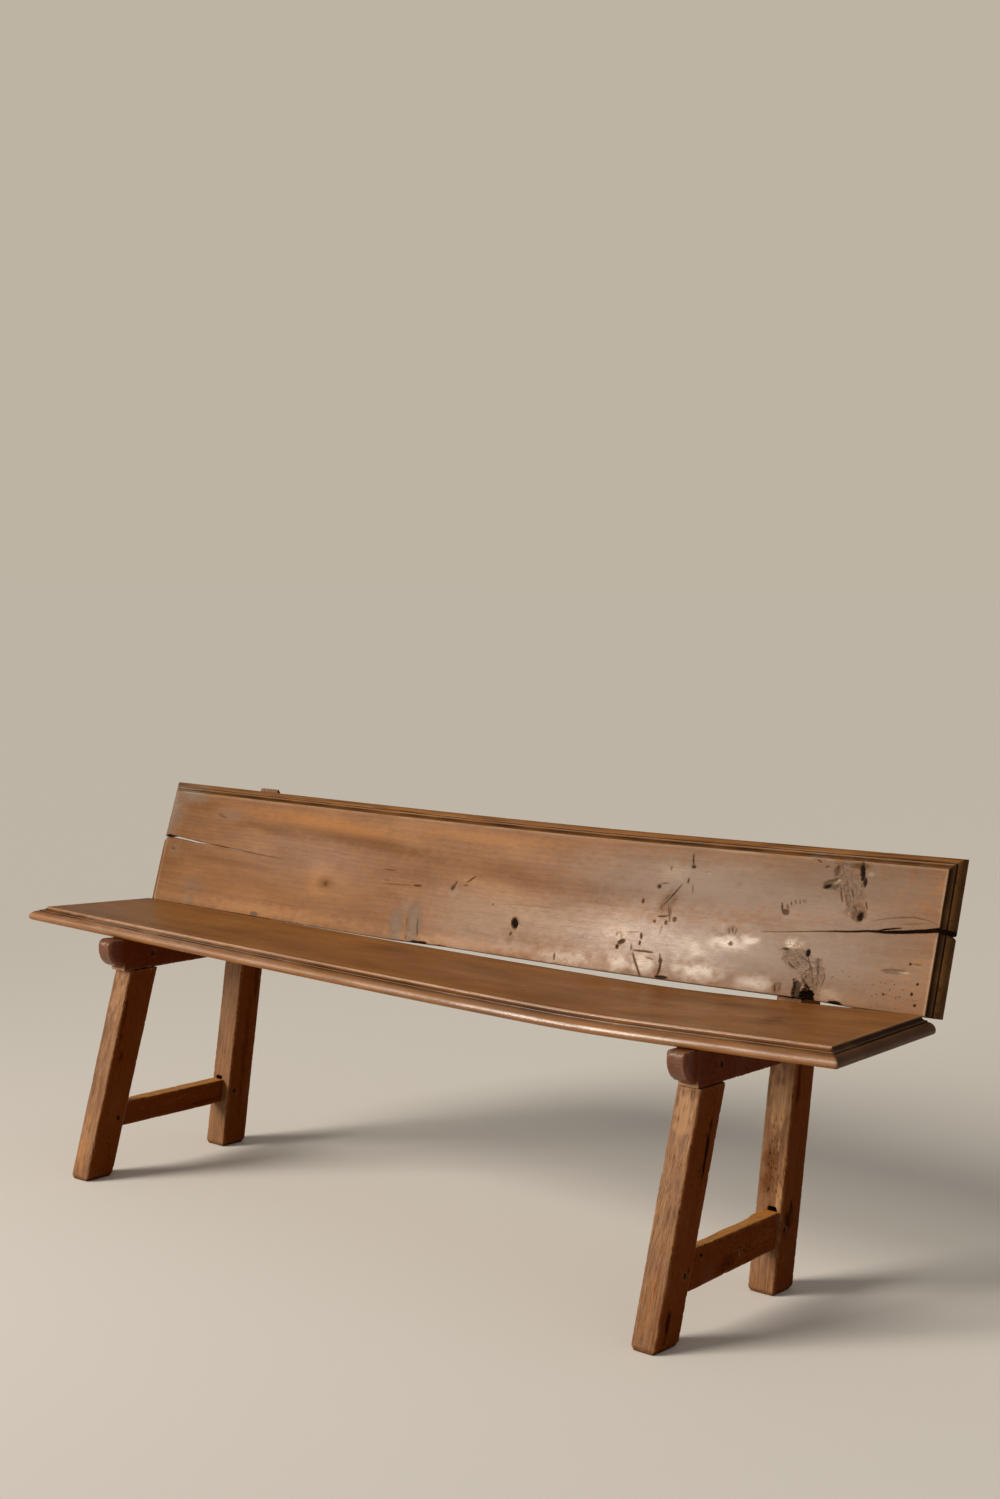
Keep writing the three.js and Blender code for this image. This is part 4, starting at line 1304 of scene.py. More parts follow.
BACK_HOLLOWS = (
    # Broad tones of the face. The pale rub in the middle and along the lower edge is a painted
    # highlight of the sheen.
    mark(-600, 60, 420, 75, soft=0.9, gold=0.18),
    mark(-430, 190, 330, 24, soft=0.9, turn=-2, gold=0.70),
    mark(-40, 200, 260, 16, soft=0.9, gold=0.55),
    mark(-560, 12, 400, 18, soft=0.9, gold=0.70, rub=0.12),
    mark(-60, 10, 230, 16, soft=0.9, gold=0.35, rub=0.2),
    mark(-330, 165, 330, 22, soft=0.95, turn=-3, smoke=0.42),
    mark(60, 140, 300, 34, soft=0.95, ragged=0.2, turn=-4, smoke=0.26),
    mark(-520, 112, 90, 40, soft=0.9, smoke=0.25),
    mark(20, 70, 280, 70, soft=0.95, ragged=0.15, rub=0.34),
    mark(480, 160, 460, 76, soft=0.9, ragged=0.2, ash=0.95),
    mark(600, 60, 400, 90, soft=0.9, ragged=0.2, ash=0.9),
    mark(760, 110, 170, 130, soft=0.8, ash=0.45, smoke=0.26),
    mark(690, 184, 260, 56, soft=0.8, ragged=0.5, ash=0.7, smoke=0.55),
    mark(-870, 110, 120, 130, soft=0.95, smoke=0.30),
    mark(420, 196, 150, 14, soft=0.9, ash=0.35, smoke=0.2),
    mark(500, 176, 60, 14, soft=0.9, ash=0.45, smoke=0.25),
    mark(790, 180, 70, 44, soft=0.9, ash=0.50, smoke=0.30),
    mark(800, 176, 50, 30, soft=0.9, gold=0.25),
    mark(790, 50, 110, 50, soft=0.9, gold=0.15),
    mark(-884, 184, 64, 90, soft=0.75, ragged=0.3, ash=0.9, smoke=0.85),
    mark(-845, 160, 12, 14, soft=0.9, ash=0.4, smoke=0.5),
    mark(-826, 218, 80, 26, soft=0.8, ragged=0.3, ash=0.8, smoke=0.75),
    mark(-878, 60, 24, 80, soft=0.9, ragged=0.15, smoke=0.45),
    mark(-835, 101, 24, 22, soft=0.9, ash=0.3, smoke=0.3),
    mark(-766, 36, 44, 34, soft=0.9, ash=0.3, smoke=0.25),
    mark(-767, 8, 18, 9, soft=0.8, ash=0.8, smoke=0.4),
    mark(-695, -1, 12, 8, soft=0.8, ash=0.7, smoke=0.4),
    mark(-800, 200, 130, 26, soft=0.95, smoke=0.35),
    mark(-700, 185, 60, 18, soft=0.9, ash=0.4, smoke=0.3),
    mark(-560, 165, 180, 14, soft=0.9, turn=-4, smoke=0.4),
    mark(-640, 92, 240, 12, soft=0.9, turn=-2, smoke=0.3),
    mark(-424, 82, 60, 50, soft=0.95, gold=0.5),
    mark(-209, 26, 20, 46, soft=0.8, ragged=0.25, turn=5, ash=1.0, smoke=0.7),
    mark(-168, 32, 25, 52, soft=0.8, ragged=0.25, turn=4, ash=1.0, smoke=0.95),
    mark(-160, 22, 8, 26, soft=0.9, turn=2, smoke=0.65),
    mark(-190, 60, 40, 24, soft=0.95, ash=0.35),
    mark(380, 130, 44, 50, soft=0.9, turn=20, ash=0.55),
    mark(372, 176, 40, 20, soft=0.9, rub=0.25),
    # Wax rubbed to a shine, in pools. The pale rub laid in them is a painted highlight of the
    # sheen.
    mark(330, 60, 360, 86, soft=0.95, ragged=0.12, gloss=0.80),
    mark(-20, 26, 180, 44, soft=0.95, ragged=0.12, gloss=0.35),
    mark(-500, 120, 300, 80, soft=0.95, ragged=0.12, gloss=0.4),
    mark(700, 120, 160, 110, soft=0.95, ragged=0.12, gloss=0.35),
    mark(500, 72, 66, 20, soft=1.0, ragged=0.3, turn=6, gloss=1.0, rub=0.62),
    mark(540, 80, 40, 14, soft=1.0, ragged=0.3, gloss=1.0, rub=0.42),
    mark(452, 20, 84, 26, soft=1.0, ragged=0.3, turn=4, gloss=1.0, rub=0.52),
    mark(440, 56, 60, 26, soft=0.95, ragged=0.3, gloss=0.9, rub=0.40),
    mark(342, 20, 40, 26, soft=0.95, ragged=0.3, gloss=1.0, rub=0.60),
    mark(296, 17, 40, 26, soft=0.95, ragged=0.3, gloss=1.0, rub=0.50),
    mark(190, 14, 120, 24, soft=0.95, ragged=0.3, gloss=0.7, rub=0.30),
    mark(60, 20, 120, 22, soft=0.95, ragged=0.3, gloss=0.4, rub=0.25),
    mark(560, 14, 60, 18, soft=0.95, ragged=0.3, gloss=0.8, rub=0.35),
    mark(250, 80, 160, 40, soft=0.95, ragged=0.3, gloss=0.5, rub=0.15),
    mark(620, 82, 24, 14, soft=0.9, ragged=0.6, gloss=0.8, rub=0.50),
    mark(700, 12, 30, 14, soft=0.9, ragged=0.5, rub=0.35),
    mark(520, 50, 44, 12, soft=0.9, ragged=0.6, smoke=0.35, ash=0.3),
    mark(456, 38, 14, 9, soft=0.8, ragged=0.6, smoke=0.30),
    mark(552, 46, 24, 34, soft=0.9, turn=80, ash=0.40, smoke=0.2),
    # Knots and torn places, from the left. Their holes are painted near black with grime and
    # painted shade, and the small pale rub marks at rims and chips are painted highlights.
    mark(-840, 103, 10, 5, depth=0.6, smoke=0.8),
    mark(-720, 182, 24, 6, turn=-20, soft=0.8, smoke=0.55),
    mark(-576, 3, 14, 6, depth=0.7, ash=0.7, dirt=0.45),
    mark(-405, 80, 14, 8, soft=0.8, smoke=0.85),
    mark(-405, 80, 34, 20, soft=0.9, ragged=0.15, smoke=0.5),
    mark(-148, 0, 24, 3.5, depth=2.6, soft=0.4, dirt=0.98),
    mark(-95, -1, 20, 2.5, depth=1.6, soft=0.4, dirt=0.9),
    mark(-92, 104, 7, 4.5, depth=1.0, turn=55, dirt=0.5, smoke=0.7),
    mark(-86, 98, 20, 13, soft=0.9, ash=0.45),
    mark(62, 58, 7.5, 12.5, depth=3.6, turn=12, soft=0.35, ragged=0.25, dirt=0.97),
    mark(66, 58, 10.5, 15.5, soft=0.45, turn=10, smoke=0.8),
    mark(64, 58, 18, 22, soft=0.5, turn=8, rub=0.22),
    mark(72, 50, 4, 10, depth=0.6, soft=0.5, turn=-14, rub=0.6),
    mark(58, 39, 3, 5, depth=1.0, turn=-20, dirt=0.6),
    mark(57, 24, 9, 6, soft=0.8, smoke=0.5),
    mark(287, 61, 9, 8, depth=0.7, ragged=0.2, soft=0.8, rub=0.6),
    mark(294, 52, 9, 4, depth=1.6, turn=25, dirt=0.85),
    mark(287, 43, 4, 4.5, depth=1.4, dirt=0.9),
    mark(347, 19, 30, 21, soft=0.5, ragged=0.3, rub=0.35),
    mark(411, 188, 5, 3, depth=1.2, dirt=0.8),
    mark(441, 180, 8, 2.5, depth=0.8, turn=10, soft=0.8, rub=0.35),
    mark(350, 150, 6, 5, depth=1.2, dirt=0.75, smoke=0.6),
    mark(323, 123, 3, 5, depth=1.3, dirt=0.65),
    mark(353, 92, 3, 3, depth=1.0, dirt=0.5),
    mark(376, 92, 3.2, 4, depth=1.2, dirt=0.6),
    mark(392, 99, 3.6, 4, depth=1.2, dirt=0.6),
    mark(376, 128, 34, 18, depth=0.6, flutes=2.6, turn=50, soft=0.9, ash=0.35),
    mark(506, 91, 17, 11, depth=0.7, soft=0.9, smoke=0.55, ash=0.7),
    mark(488, 84, 20, 5, soft=0.8, turn=14, smoke=0.7),
    mark(507, 71, 4.5, 4, depth=1.0, dirt=0.7),
    mark(379, 29, 4, 4, depth=1.4, dirt=0.6),
    mark(386, 3, 15, 2.6, depth=2.2, soft=0.4, dirt=0.9),
    mark(598, 131, 7, 5, depth=1.4, dirt=0.55, smoke=0.5),
    # Torn grain below the split, fanning down to the hole in the lower edge. Its holes are painted
    # near black with grime and painted shade, and its pale spot is a painted highlight.
    mark(636, 58, 40, 22, depth=1.4, flutes=2.4, turn=-34, soft=0.9, ragged=0.7, ash=0.8,
         smoke=0.3),
    mark(662, 26, 34, 20, depth=1.8, flutes=2.4, turn=-54, soft=0.9, ragged=0.7, ash=0.8,
         smoke=0.4),
    mark(676, 46, 26, 9, depth=1.2, flutes=2.2, turn=-76, soft=0.9, ragged=0.7, ash=0.8,
         smoke=0.3),
    mark(618, 80, 18, 9, soft=0.7, ragged=0.6, gloss=1.0, rub=0.8),
    mark(651, 71, 4.5, 8, depth=2.6, soft=0.4, dirt=0.95),
    mark(611, 73, 8, 3, depth=1.2, dirt=0.75),
    mark(641, 11, 9, 17, depth=4.5, soft=0.35, turn=8, smoke=0.9, dirt=0.6),
    mark(659, 4, 16, 17, depth=9.0, soft=0.35, ragged=0.5, dirt=1.0),
    mark(606, 10, 12, 12, depth=0.8, flutes=2.2, turn=80, soft=0.8, ash=0.4),
    mark(711, 0, 14, 5, depth=4.5, soft=0.35, dirt=0.97),
    # Torn column above the split, from the moulding down to its knots. Its holes are painted near
    # black with grime and painted shade, and its small pale marks are painted highlights.
    mark(704, 182, 58, 25, depth=1.5, flutes=2.4, turn=-63, soft=0.8, ragged=0.5, ash=0.9,
         smoke=0.4),
    mark(672, 181, 17, 9, depth=2.6, turn=12, soft=0.45, smoke=0.95, dirt=0.35),
    mark(665, 178, 9, 5, depth=3.0, turn=20, soft=0.5, dirt=0.95),
    mark(680, 186, 9, 2.6, turn=25, soft=0.5, rub=0.8),
    mark(678, 203, 6, 12, depth=1.6, turn=-8, soft=0.5, smoke=0.8, dirt=0.4),
    mark(727, 140, 15, 15, depth=2.4, soft=0.5, ragged=0.25, smoke=0.95),
    mark(729, 136, 8, 10, depth=3.6, soft=0.5, dirt=0.95),
    mark(722, 205, 5, 17, depth=2.4, turn=10, soft=0.45, dirt=0.95),
    mark(729, 190, 4, 9, depth=2.0, turn=8, soft=0.45, dirt=0.9),
    mark(736, 203, 7, 6, depth=0.6, soft=0.9, rub=0.35),
    mark(716, 214, 26, 7, soft=0.6, smoke=0.6, dirt=0.35),
    mark(804, 58, 25, 4.2, depth=1.4, turn=3, soft=0.4, ragged=0.15, ash=0.9, dirt=0.3),
    mark(820, 58, 12, 2.4, turn=1, soft=0.5, rub=0.7),
    mark(846, 43, 2.2, 2.2, depth=1.5, dirt=0.95),
    mark(829, 72, 2.2, 2.2, depth=1.5, dirt=0.9),
    mark(839, 28, 2.4, 2.4, depth=1.5, dirt=0.95),
    mark(847, 13, 2.4, 2.4, depth=1.5, dirt=0.95),
    mark(792, 23, 2.0, 2.0, depth=1.5, dirt=0.85),
    mark(800, 26, 64, 26, soft=0.6, worm=1.0),
    mark(718, 40, 40, 26, soft=0.8, worm=0.6),
)

BACK_CRACKS = (
    Crack(((-744, 186), (-722, 180), (-700, 178)), width=0.9, depth=0.5, dirt=0.3),
    Crack(((-265, 121), (-234, 121)), width=1.4, depth=0.5, dirt=0.3),
    Crack(((-258, 102), (-246, 101)), width=1.0, depth=0.4, dirt=0.25),
    Crack(((-261, 94.5), (-222, 97), (-186, 99)), width=1.0, depth=0.5, dirt=0.3),
    Crack(((-186, 99), (-165, 100)), width=1.6, depth=1.2, dirt=0.85),
    Crack(((-91, 106), (-84, 117)), width=1.4, depth=1.0, dirt=0.78),
    Crack(((-63, 116), (-51, 125), (-43, 131)), width=1.2, depth=0.9, dirt=0.72),
    Crack(((-68, 112), (-58, 112)), width=1.2, depth=0.6, dirt=0.59),
    Crack(((-160, 44), (-158, 28), (-153, 10)), width=1.6, depth=0.9, dirt=0.78),
    Crack(((-186, 40), (-184, 26)), width=1.2, depth=0.6, dirt=0.46),
    Crack(((-181, 12), (-180, 2)), width=1.2, depth=0.6, dirt=0.59),
    Crack(((7, 85.3), (34, 88), (61, 90), (108, 92), (155, 93)), width=0.7, depth=0.3, dirt=0.2),
    Crack(((5, 85), (9, 85.6)), width=2.4, depth=0.8, dirt=0.46),
    Crack(((160, 18), (162, 6)), width=1.6, depth=0.9, dirt=0.85),
    Crack(((406, 209), (407.5, 198), (411, 189)), width=2.2, depth=1.3, dirt=0.85),
    Crack(((367, 185), (368, 178)), width=1.6, depth=0.8, dirt=0.59),
    Crack(((405.6, 169), (405, 160)), width=2.2, depth=1.1, dirt=0.78),
    Crack(((415, 160), (418, 144)), width=1.2, depth=0.6, dirt=0.46),
    Crack(((395, 157.5), (381, 140), (365.5, 120.5)), width=1.8, depth=1.3, dirt=0.85),
    Crack(((365.5, 120.5), (359, 113)), width=1.2, depth=0.7, dirt=0.59),
    Crack(((373, 137), (366, 130)), width=1.2, depth=0.7, dirt=0.59),
    Crack(((350, 153), (358, 156), (370, 157)), width=1.0, depth=0.6, dirt=0.52),
    Crack(((357, 100.5), (368, 101.6), (379, 104.3)), width=1.5, depth=0.9, dirt=0.72),
    Crack(((374, 123), (379, 108), (383, 95)), width=1.3, depth=0.8, dirt=0.65),
    Crack(((379, 120), (383, 105)), width=1.2, depth=0.7, dirt=0.52),
    Crack(((370, 88), (367, 69)), width=0.9, depth=0.4, dirt=0.25),
    Crack(((331, 71), (333, 60)), width=2.2, depth=1.2, dirt=0.85),
    Crack(((331, 57), (332, 50)), width=2.2, depth=1.2, dirt=0.78),
    Crack(((315.6, 51), (316.7, 39)), width=1.1, depth=0.6, dirt=0.46),
    Crack(((301, 68), (330, 72)), width=0.9, depth=0.4, dirt=0.25),
    Crack(((317.6, 40), (340, 41), (363, 41)), width=1.5, depth=0.9, dirt=0.72),
    Crack(((321, 36), (328, 24), (344.5, -1)), width=2.0, depth=1.4, dirt=0.96),
    Crack(((375, 40), (379, 29), (380, 18), (378.8, 10), (375, 1)), width=2.0, depth=1.2,
          dirt=0.85),
    Crack(((350, 31.6), (366, 28.8)), width=1.1, depth=0.7, dirt=0.41),
    Crack(((498, 95), (501, 86)), width=1.4, depth=0.8, dirt=0.7),
    Crack(((505, 98), (507, 88)), width=1.6, depth=0.9, dirt=0.75),
    Crack(((513, 96), (512, 86)), width=1.4, depth=0.8, dirt=0.65),
    Crack(((588.5, 145), (591, 134), (596, 127)), width=2.0, depth=1.3, dirt=0.85),
    Crack(((595.5, 127.6), (604, 131)), width=1.8, depth=1.1, dirt=0.65),
    Crack(((597.9, 143), (602, 135)), width=1.4, depth=0.9, dirt=0.65),
    Crack(((604.8, 148), (607.4, 141)), width=1.4, depth=0.8, dirt=0.65),
    Crack(((612, 151.6), (614, 145)), width=1.4, depth=0.8, dirt=0.59),
    Crack(((620, 151.6), (622, 145.6)), width=1.3, depth=0.8, dirt=0.59),
    Crack(((626, 153), (627.5, 148)), width=1.2, depth=0.7, dirt=0.46),
    Crack(((630, 153.5), (631, 147.4)), width=1.2, depth=0.7, dirt=0.46),
    Crack(((617, 53), (624, 49), (633, 43.5)), width=1.8, depth=1.3, dirt=0.85),
    Crack(((635, 66), (648, 60), (660, 52.5)), width=1.4, depth=1.0, dirt=0.72),
    Crack(((646, 33), (658, 20), (675, 1)), width=2.0, depth=1.5, dirt=0.93),
    Crack(((670, 60), (673, 50), (675, 38)), width=1.6, depth=1.0, dirt=0.78),
    Crack(((684, 46), (687, 36), (684, 20)), width=1.5, depth=0.9, dirt=0.65),
    Crack(((640, 76), (652, 64), (664, 40), (668, 22)), width=1.4, depth=1.0, dirt=0.72),
    Crack(((600, 16), (604, 4)), width=1.4, depth=0.9, dirt=0.72),
    Crack(((610, 18), (612, 6)), width=1.2, depth=0.8, dirt=0.59),
    Crack(((719.8, 219), (722, 206), (726, 198), (731, 184)), width=2.6, depth=1.8, dirt=0.96),
    Crack(((686.6, 181), (691, 168), (696.4, 154)), width=1.5, depth=1.0, dirt=0.78),
    Crack(((705.5, 180), (710, 171), (715, 161)), width=1.8, depth=1.2, dirt=0.85),
    Crack(((715, 152), (722, 144)), width=1.4, depth=1.0, dirt=0.78),
    Crack(((700, 205), (705, 190)), width=1.0, depth=0.6, dirt=0.46),
    Crack(((736, 160), (741, 146)), width=1.6, depth=1.0, dirt=0.65),
    Crack(((677.3, 213), (678, 194)), width=1.8, depth=1.1, dirt=0.78),
    Crack(((752, 130.4), (766, 134.4), (780, 137.2), (800, 140.4), (821, 142.8), (843, 141.0),
           (852, 138.6), (866, 134.0)), width=1.0, depth=0.4, dirt=0.5),
    Crack(((800, 129.6), (812, 131.4), (830, 133.4), (848, 135.6)), width=0.8, depth=0.3,
          dirt=0.35),
    Crack(((831, 72), (851, 72.4)), width=0.9, depth=0.5, dirt=0.35),
    Crack(((655, 207), (662, 209)), width=1.4, depth=0.8, dirt=0.72),
    Crack(((638, 218), (648, 214)), width=1.6, depth=0.9, dirt=0.72),
)

SEAT_HOLLOWS = (
    mark(700, 120, 300, 150, soft=0.9, gold=0.45),
    mark(200, 236, 640, 18, soft=0.9, gold=0.30),
    mark(300, 40, 460, 46, soft=0.9, gold=0.22),
    mark(150, 60, 60, 60, soft=0.9, smoke=0.35),
    mark(-480, 70, 110, 44, soft=0.9, smoke=0.42),
    mark(-330, 160, 150, 50, soft=0.9, smoke=0.25),
    mark(-700, 140, 34, 52, soft=0.8, ragged=0.6, smoke=0.62),
    mark(-610, 70, 130, 30, soft=0.9, smoke=0.40),
    mark(-100, 110, 260, 40, soft=0.9, smoke=0.28),
    mark(-640, 200, 120, 16, soft=0.9, turn=3, gold=0.35),
    mark(-330, 205, 190, 30, soft=0.9, smoke=0.34),
    mark(60, 190, 220, 26, soft=0.9, turn=2, smoke=0.26),
    mark(420, 150, 240, 30, soft=0.9, turn=-2, smoke=0.22),
    mark(-770, 70, 60, 40, soft=0.9, gold=0.3),
    mark(-560, 232, 260, 14, soft=0.9, rub=0.16),
    mark(-540, 120, 60, 9, soft=0.9, turn=-3, gold=0.4),
    mark(560, 262, 300, 24, soft=0.7, ash=0.50, rub=0.35),
    mark(280, 262, 160, 20, soft=0.7, ash=0.35),
    mark(780, 200, 120, 70, soft=0.9, ash=0.30),
    mark(273, 22, 3, 2.2, depth=1.0, dirt=0.95),
    mark(-254, 181, 4, 2.4, depth=1.0, dirt=0.95),
    mark(-240, 184, 22, 5, soft=0.9, smoke=0.5),
    mark(-570, 70, 12, 3, soft=0.8, dirt=0.4),
    mark(0, 130, 800, 110, soft=0.9, gloss=0.35),
)

SEAT = SeatBoard(
    name="seat_board", node="seat_plank", finish=SEAT_WOOD, length=1736.0, width=252.5,
    moulding=Moulding(cove_out=8.2, cove_down=6.4, fillet_out=2.2, quirk_down=2.0,
                      nose_out=14.1, nose_down=12.0, under_radius=6.1),
    edge_tones=EdgeTones(gloss=0.9, gloss_x=-420.0, cove_smoke=0.75, fillet_rub=0.42,
                         nose_rub=0.20, nose_ash=0.30, nose_gold=0.0, nose_smoke=0.15,
                         streaks=0.30),
    hollows=SEAT_HOLLOWS,
    cracks=(
        Crack(((700, 247), (600, 248.6), (500, 247), (390, 248)), width=1.1, depth=0.5, dirt=0.6),
        Crack(((610, 243), (520, 244), (430, 242.6)), width=0.9, depth=0.4, dirt=0.45),
        Crack(((-880, 90), (-800, 92), (-760, 91)), width=0.8, depth=0.3, dirt=0.35),
    ), seed=5.0, end_turned_from_light=-1)

BACK = BackBoard(
    name="back_board", node="back_plank", finish=BACK_WOOD, length=1732.0, width=221.0,
    moulding=Moulding(cove_out=7.0, cove_down=5.6, fillet_out=2.0, quirk_down=2.2,
                      nose_out=10.8, nose_down=11.7, under_radius=6.0),
    edge_tones=EdgeTones(gloss=0.0, gloss_x=0.0, cove_smoke=0.90, fillet_rub=0.06,
                         nose_rub=0.05, nose_ash=0.0, nose_gold=0.55, nose_smoke=0.35,
                         streaks=0.65),
    hollows=BACK_HOLLOWS,
    cracks=BACK_CRACKS, splits=BACK_SPLITS, seed=3.0, end_turned_from_light=1)


@dataclass(frozen=True)
class Timber:
    """One timber of a trestle: its wood, its grain, the cells it is worn in, and its pith."""

    part: Part
    finish: WoodFinish
    grain: tuple[float, float, float]
    voxel: float
    pith: tuple[float, float]


TIMBERS = (
    Timber(Part.FRONT_LEG, LEG_WOOD, (0.0, 0.2368, 0.9716), 1.3, (30.0, 52.0)),
    Timber(Part.REAR_POST, LEG_WOOD, (0.0, 0.1340, 0.9910), 1.4, (-34.0, 60.0)),
    Timber(Part.BEARER, BEARER_WOOD, (0.0, 1.0, 0.0), 1.3, (40.0, 55.0)),
    Timber(Part.STRETCHER, STRETCHER_WOOD, (0.0, 1.0, 0.0), 1.1, (26.0, -48.0)),
)


class Face(Enum):
    """Face of a timber, by the way it looks."""

    FRONT = (0, -1, 0)
    REAR = (0, 1, 0)
    LEFT = (-1, 0, 0)
    RIGHT = (1, 0, 0)
    TOP = (0, 0, 1)

    def share(self, normals: np.ndarray, slope: float, less: float) -> np.ndarray:
        """Return 1 where a surface looks this way, falling to 0 where it turns off."""
        return np.clip(slope * normals @ np.array(self.value, float) - less, 0, 1)


@dataclass(frozen=True)
class Stain:
    """Stained or rubbed place on one face of a timber, in millimetres.

    Its middle lies at a height on legs and posts, and at a depth into the bench on bars. Aside
    runs along x on front and top faces and along the third axis of the timber on side faces.
    """

    face: Face
    along: float
    aside: float
    half_along: float
    half_aside: float
    ragged: float
    tones: tuple[tuple[Tone, float], ...]
    soft: float = 0.6

    def share(self, along: np.ndarray, aside: np.ndarray, normals: np.ndarray,
              rough: np.ndarray) -> np.ndarray:
        """Find how much of the stain lies at points of the timber.

        Args:
            along: Heights or depths of the points.
            aside: Places across the face.
            normals: Where the timber's surface looks.
            rough: Noise that makes the outline ragged.

        Returns:
            1 inside, 0 outside and on other faces.
        """
        radius = np.hypot((along - self.along) / self.half_along,
                          (aside - self.aside) / self.half_aside)
        share = np.clip((1 - radius - self.ragged * rough) / self.soft, 0, 1)
        return share * self.face.share(normals, 2.2, 0.9)


def stain(face: Face, along: float, aside: float, half_along: float, half_aside: float, *,
          ragged: float = 0.7, **strengths: float) -> Stain:
    """Write a stain in short.

    Args:
        face: Face that it lies on.
        along: Height or depth of its middle.
        aside: Place of its middle across the face.
        half_along: Half length.
        half_aside: Half width.
        ragged: How uneven its outline is.
        strengths: Strengths of painted tones, by the tones' names.

    Returns:
        The stain.
    """
    tones = tuple((Tone(name), strength) for name, strength in strengths.items())
    return Stain(face, along, aside, half_along, half_aside, ragged, tones)


STAINS: dict[str, tuple[Stain, ...]] = {
    # Black streak down its side, dirt low down, cracks along its worn front.
    "right_front_leg": (
        stain(Face.RIGHT, 282, 14, 62, 4.5, dirt=0.95),
        stain(Face.RIGHT, 250, 8, 90, 10, speck=0.7),
        stain(Face.RIGHT, 190, -6, 50, 6, gold=0.35),
        stain(Face.RIGHT, 36, -17, 26, 6, dirt=0.85),
        stain(Face.RIGHT, 106, 16, 7, 5, dirt=0.9),
        stain(Face.RIGHT, 60, 6, 60, 18, gold=0.25),
        stain(Face.FRONT, 330, 2, 66, 22, rub=0.68),
        stain(Face.FRONT, 215, -8, 100, 8, rub=0.40),
        stain(Face.FRONT, 120, 6, 60, 4, smoke=0.5),
        stain(Face.FRONT, 70, -2, 60, 14, gold=0.45),
        stain(Face.FRONT, 40, 14, 45, 4, smoke=0.55),
    ),
    # Mottled dark patch on the front, dark bands on the side, and a pale upper front painted as
    # light where the seat shades it.
    "right_rear_post": (
        stain(Face.FRONT, 192, -3, 52, 13, speck=1.0, smoke=0.6, dirt=0.30),
        stain(Face.FRONT, 205, 0, 85, 24, speck=0.75, smoke=0.35),
        stain(Face.FRONT, 300, 2, 76, 24, rub=0.9, speck=0.25),
        stain(Face.FRONT, 150, 16, 26, 6, rub=0.8),
        stain(Face.FRONT, 50, 0, 40, 20, rub=0.15, ash=0.3),
        stain(Face.RIGHT, 112, -8, 38, 12, dirt=0.7, speck=0.9),
        stain(Face.RIGHT, 250, 10, 110, 8, gold=0.35),
        stain(Face.RIGHT, 330, -18, 60, 5, dirt=0.6),
    ),
    # Rubbed top, mottled side with one pale chip.
    "right_stretcher": (
        stain(Face.RIGHT, -10, 6, 60, 10, speck=0.9, gold=0.25),
        stain(Face.RIGHT, 60, -4, 60, 12, gold=0.45, speck=0.5),
        stain(Face.RIGHT, -38, 14, 26, 14, speck=0.9, dirt=0.35),
        stain(Face.RIGHT, -4, 8, 3, 5, ragged=0.3, rub=0.9),
    ),
    # Warm rubbed fronts and streaked sides, as on all of the left trestle.
    "left_front_leg": (
        stain(Face.FRONT, 330, 0, 60, 20, rub=0.55),
        stain(Face.FRONT, 60, -6, 70, 16, gold=0.75),
        stain(Face.FRONT, 200, -4, 90, 14, rub=0.30),
        stain(Face.RIGHT, 290, -20, 70, 5, dirt=0.45),
        stain(Face.RIGHT, 180, 4, 120, 9, gold=0.30),
        stain(Face.RIGHT, 60, 0, 40, 12, speck=0.7, gold=0.3),
        stain(Face.RIGHT, 215, -12, 14, 6, dirt=0.6),
    ),
    "left_rear_post": (
        stain(Face.FRONT, 100, 4, 30, 18, speck=0.8, rub=0.3),
        stain(Face.FRONT, 250, -4, 90, 18, ash=0.35),
        stain(Face.RIGHT, 200, 0, 170, 8, speck=0.8, dirt=0.3),
        stain(Face.RIGHT, 330, 12, 60, 10, dirt=0.5),
    ),
    "left_stretcher": (
        stain(Face.RIGHT, 10, -4, 90, 7, gold=0.55, speck=0.4),
        stain(Face.RIGHT, 60, 12, 50, 5, dirt=0.4),
    ),
    # Rubbed noses and specked sides.
    "right_bearer": (
        stain(Face.FRONT, -190, 6, 60, 12, ash=0.5),
        stain(Face.RIGHT, -120, 0, 40, 26, speck=0.25),
    ),
    "left_bearer": (
        stain(Face.FRONT, -190, 0, 60, 16, ash=0.5),
        stain(Face.RIGHT, -100, 4, 70, 12, speck=0.3),
    ),
}


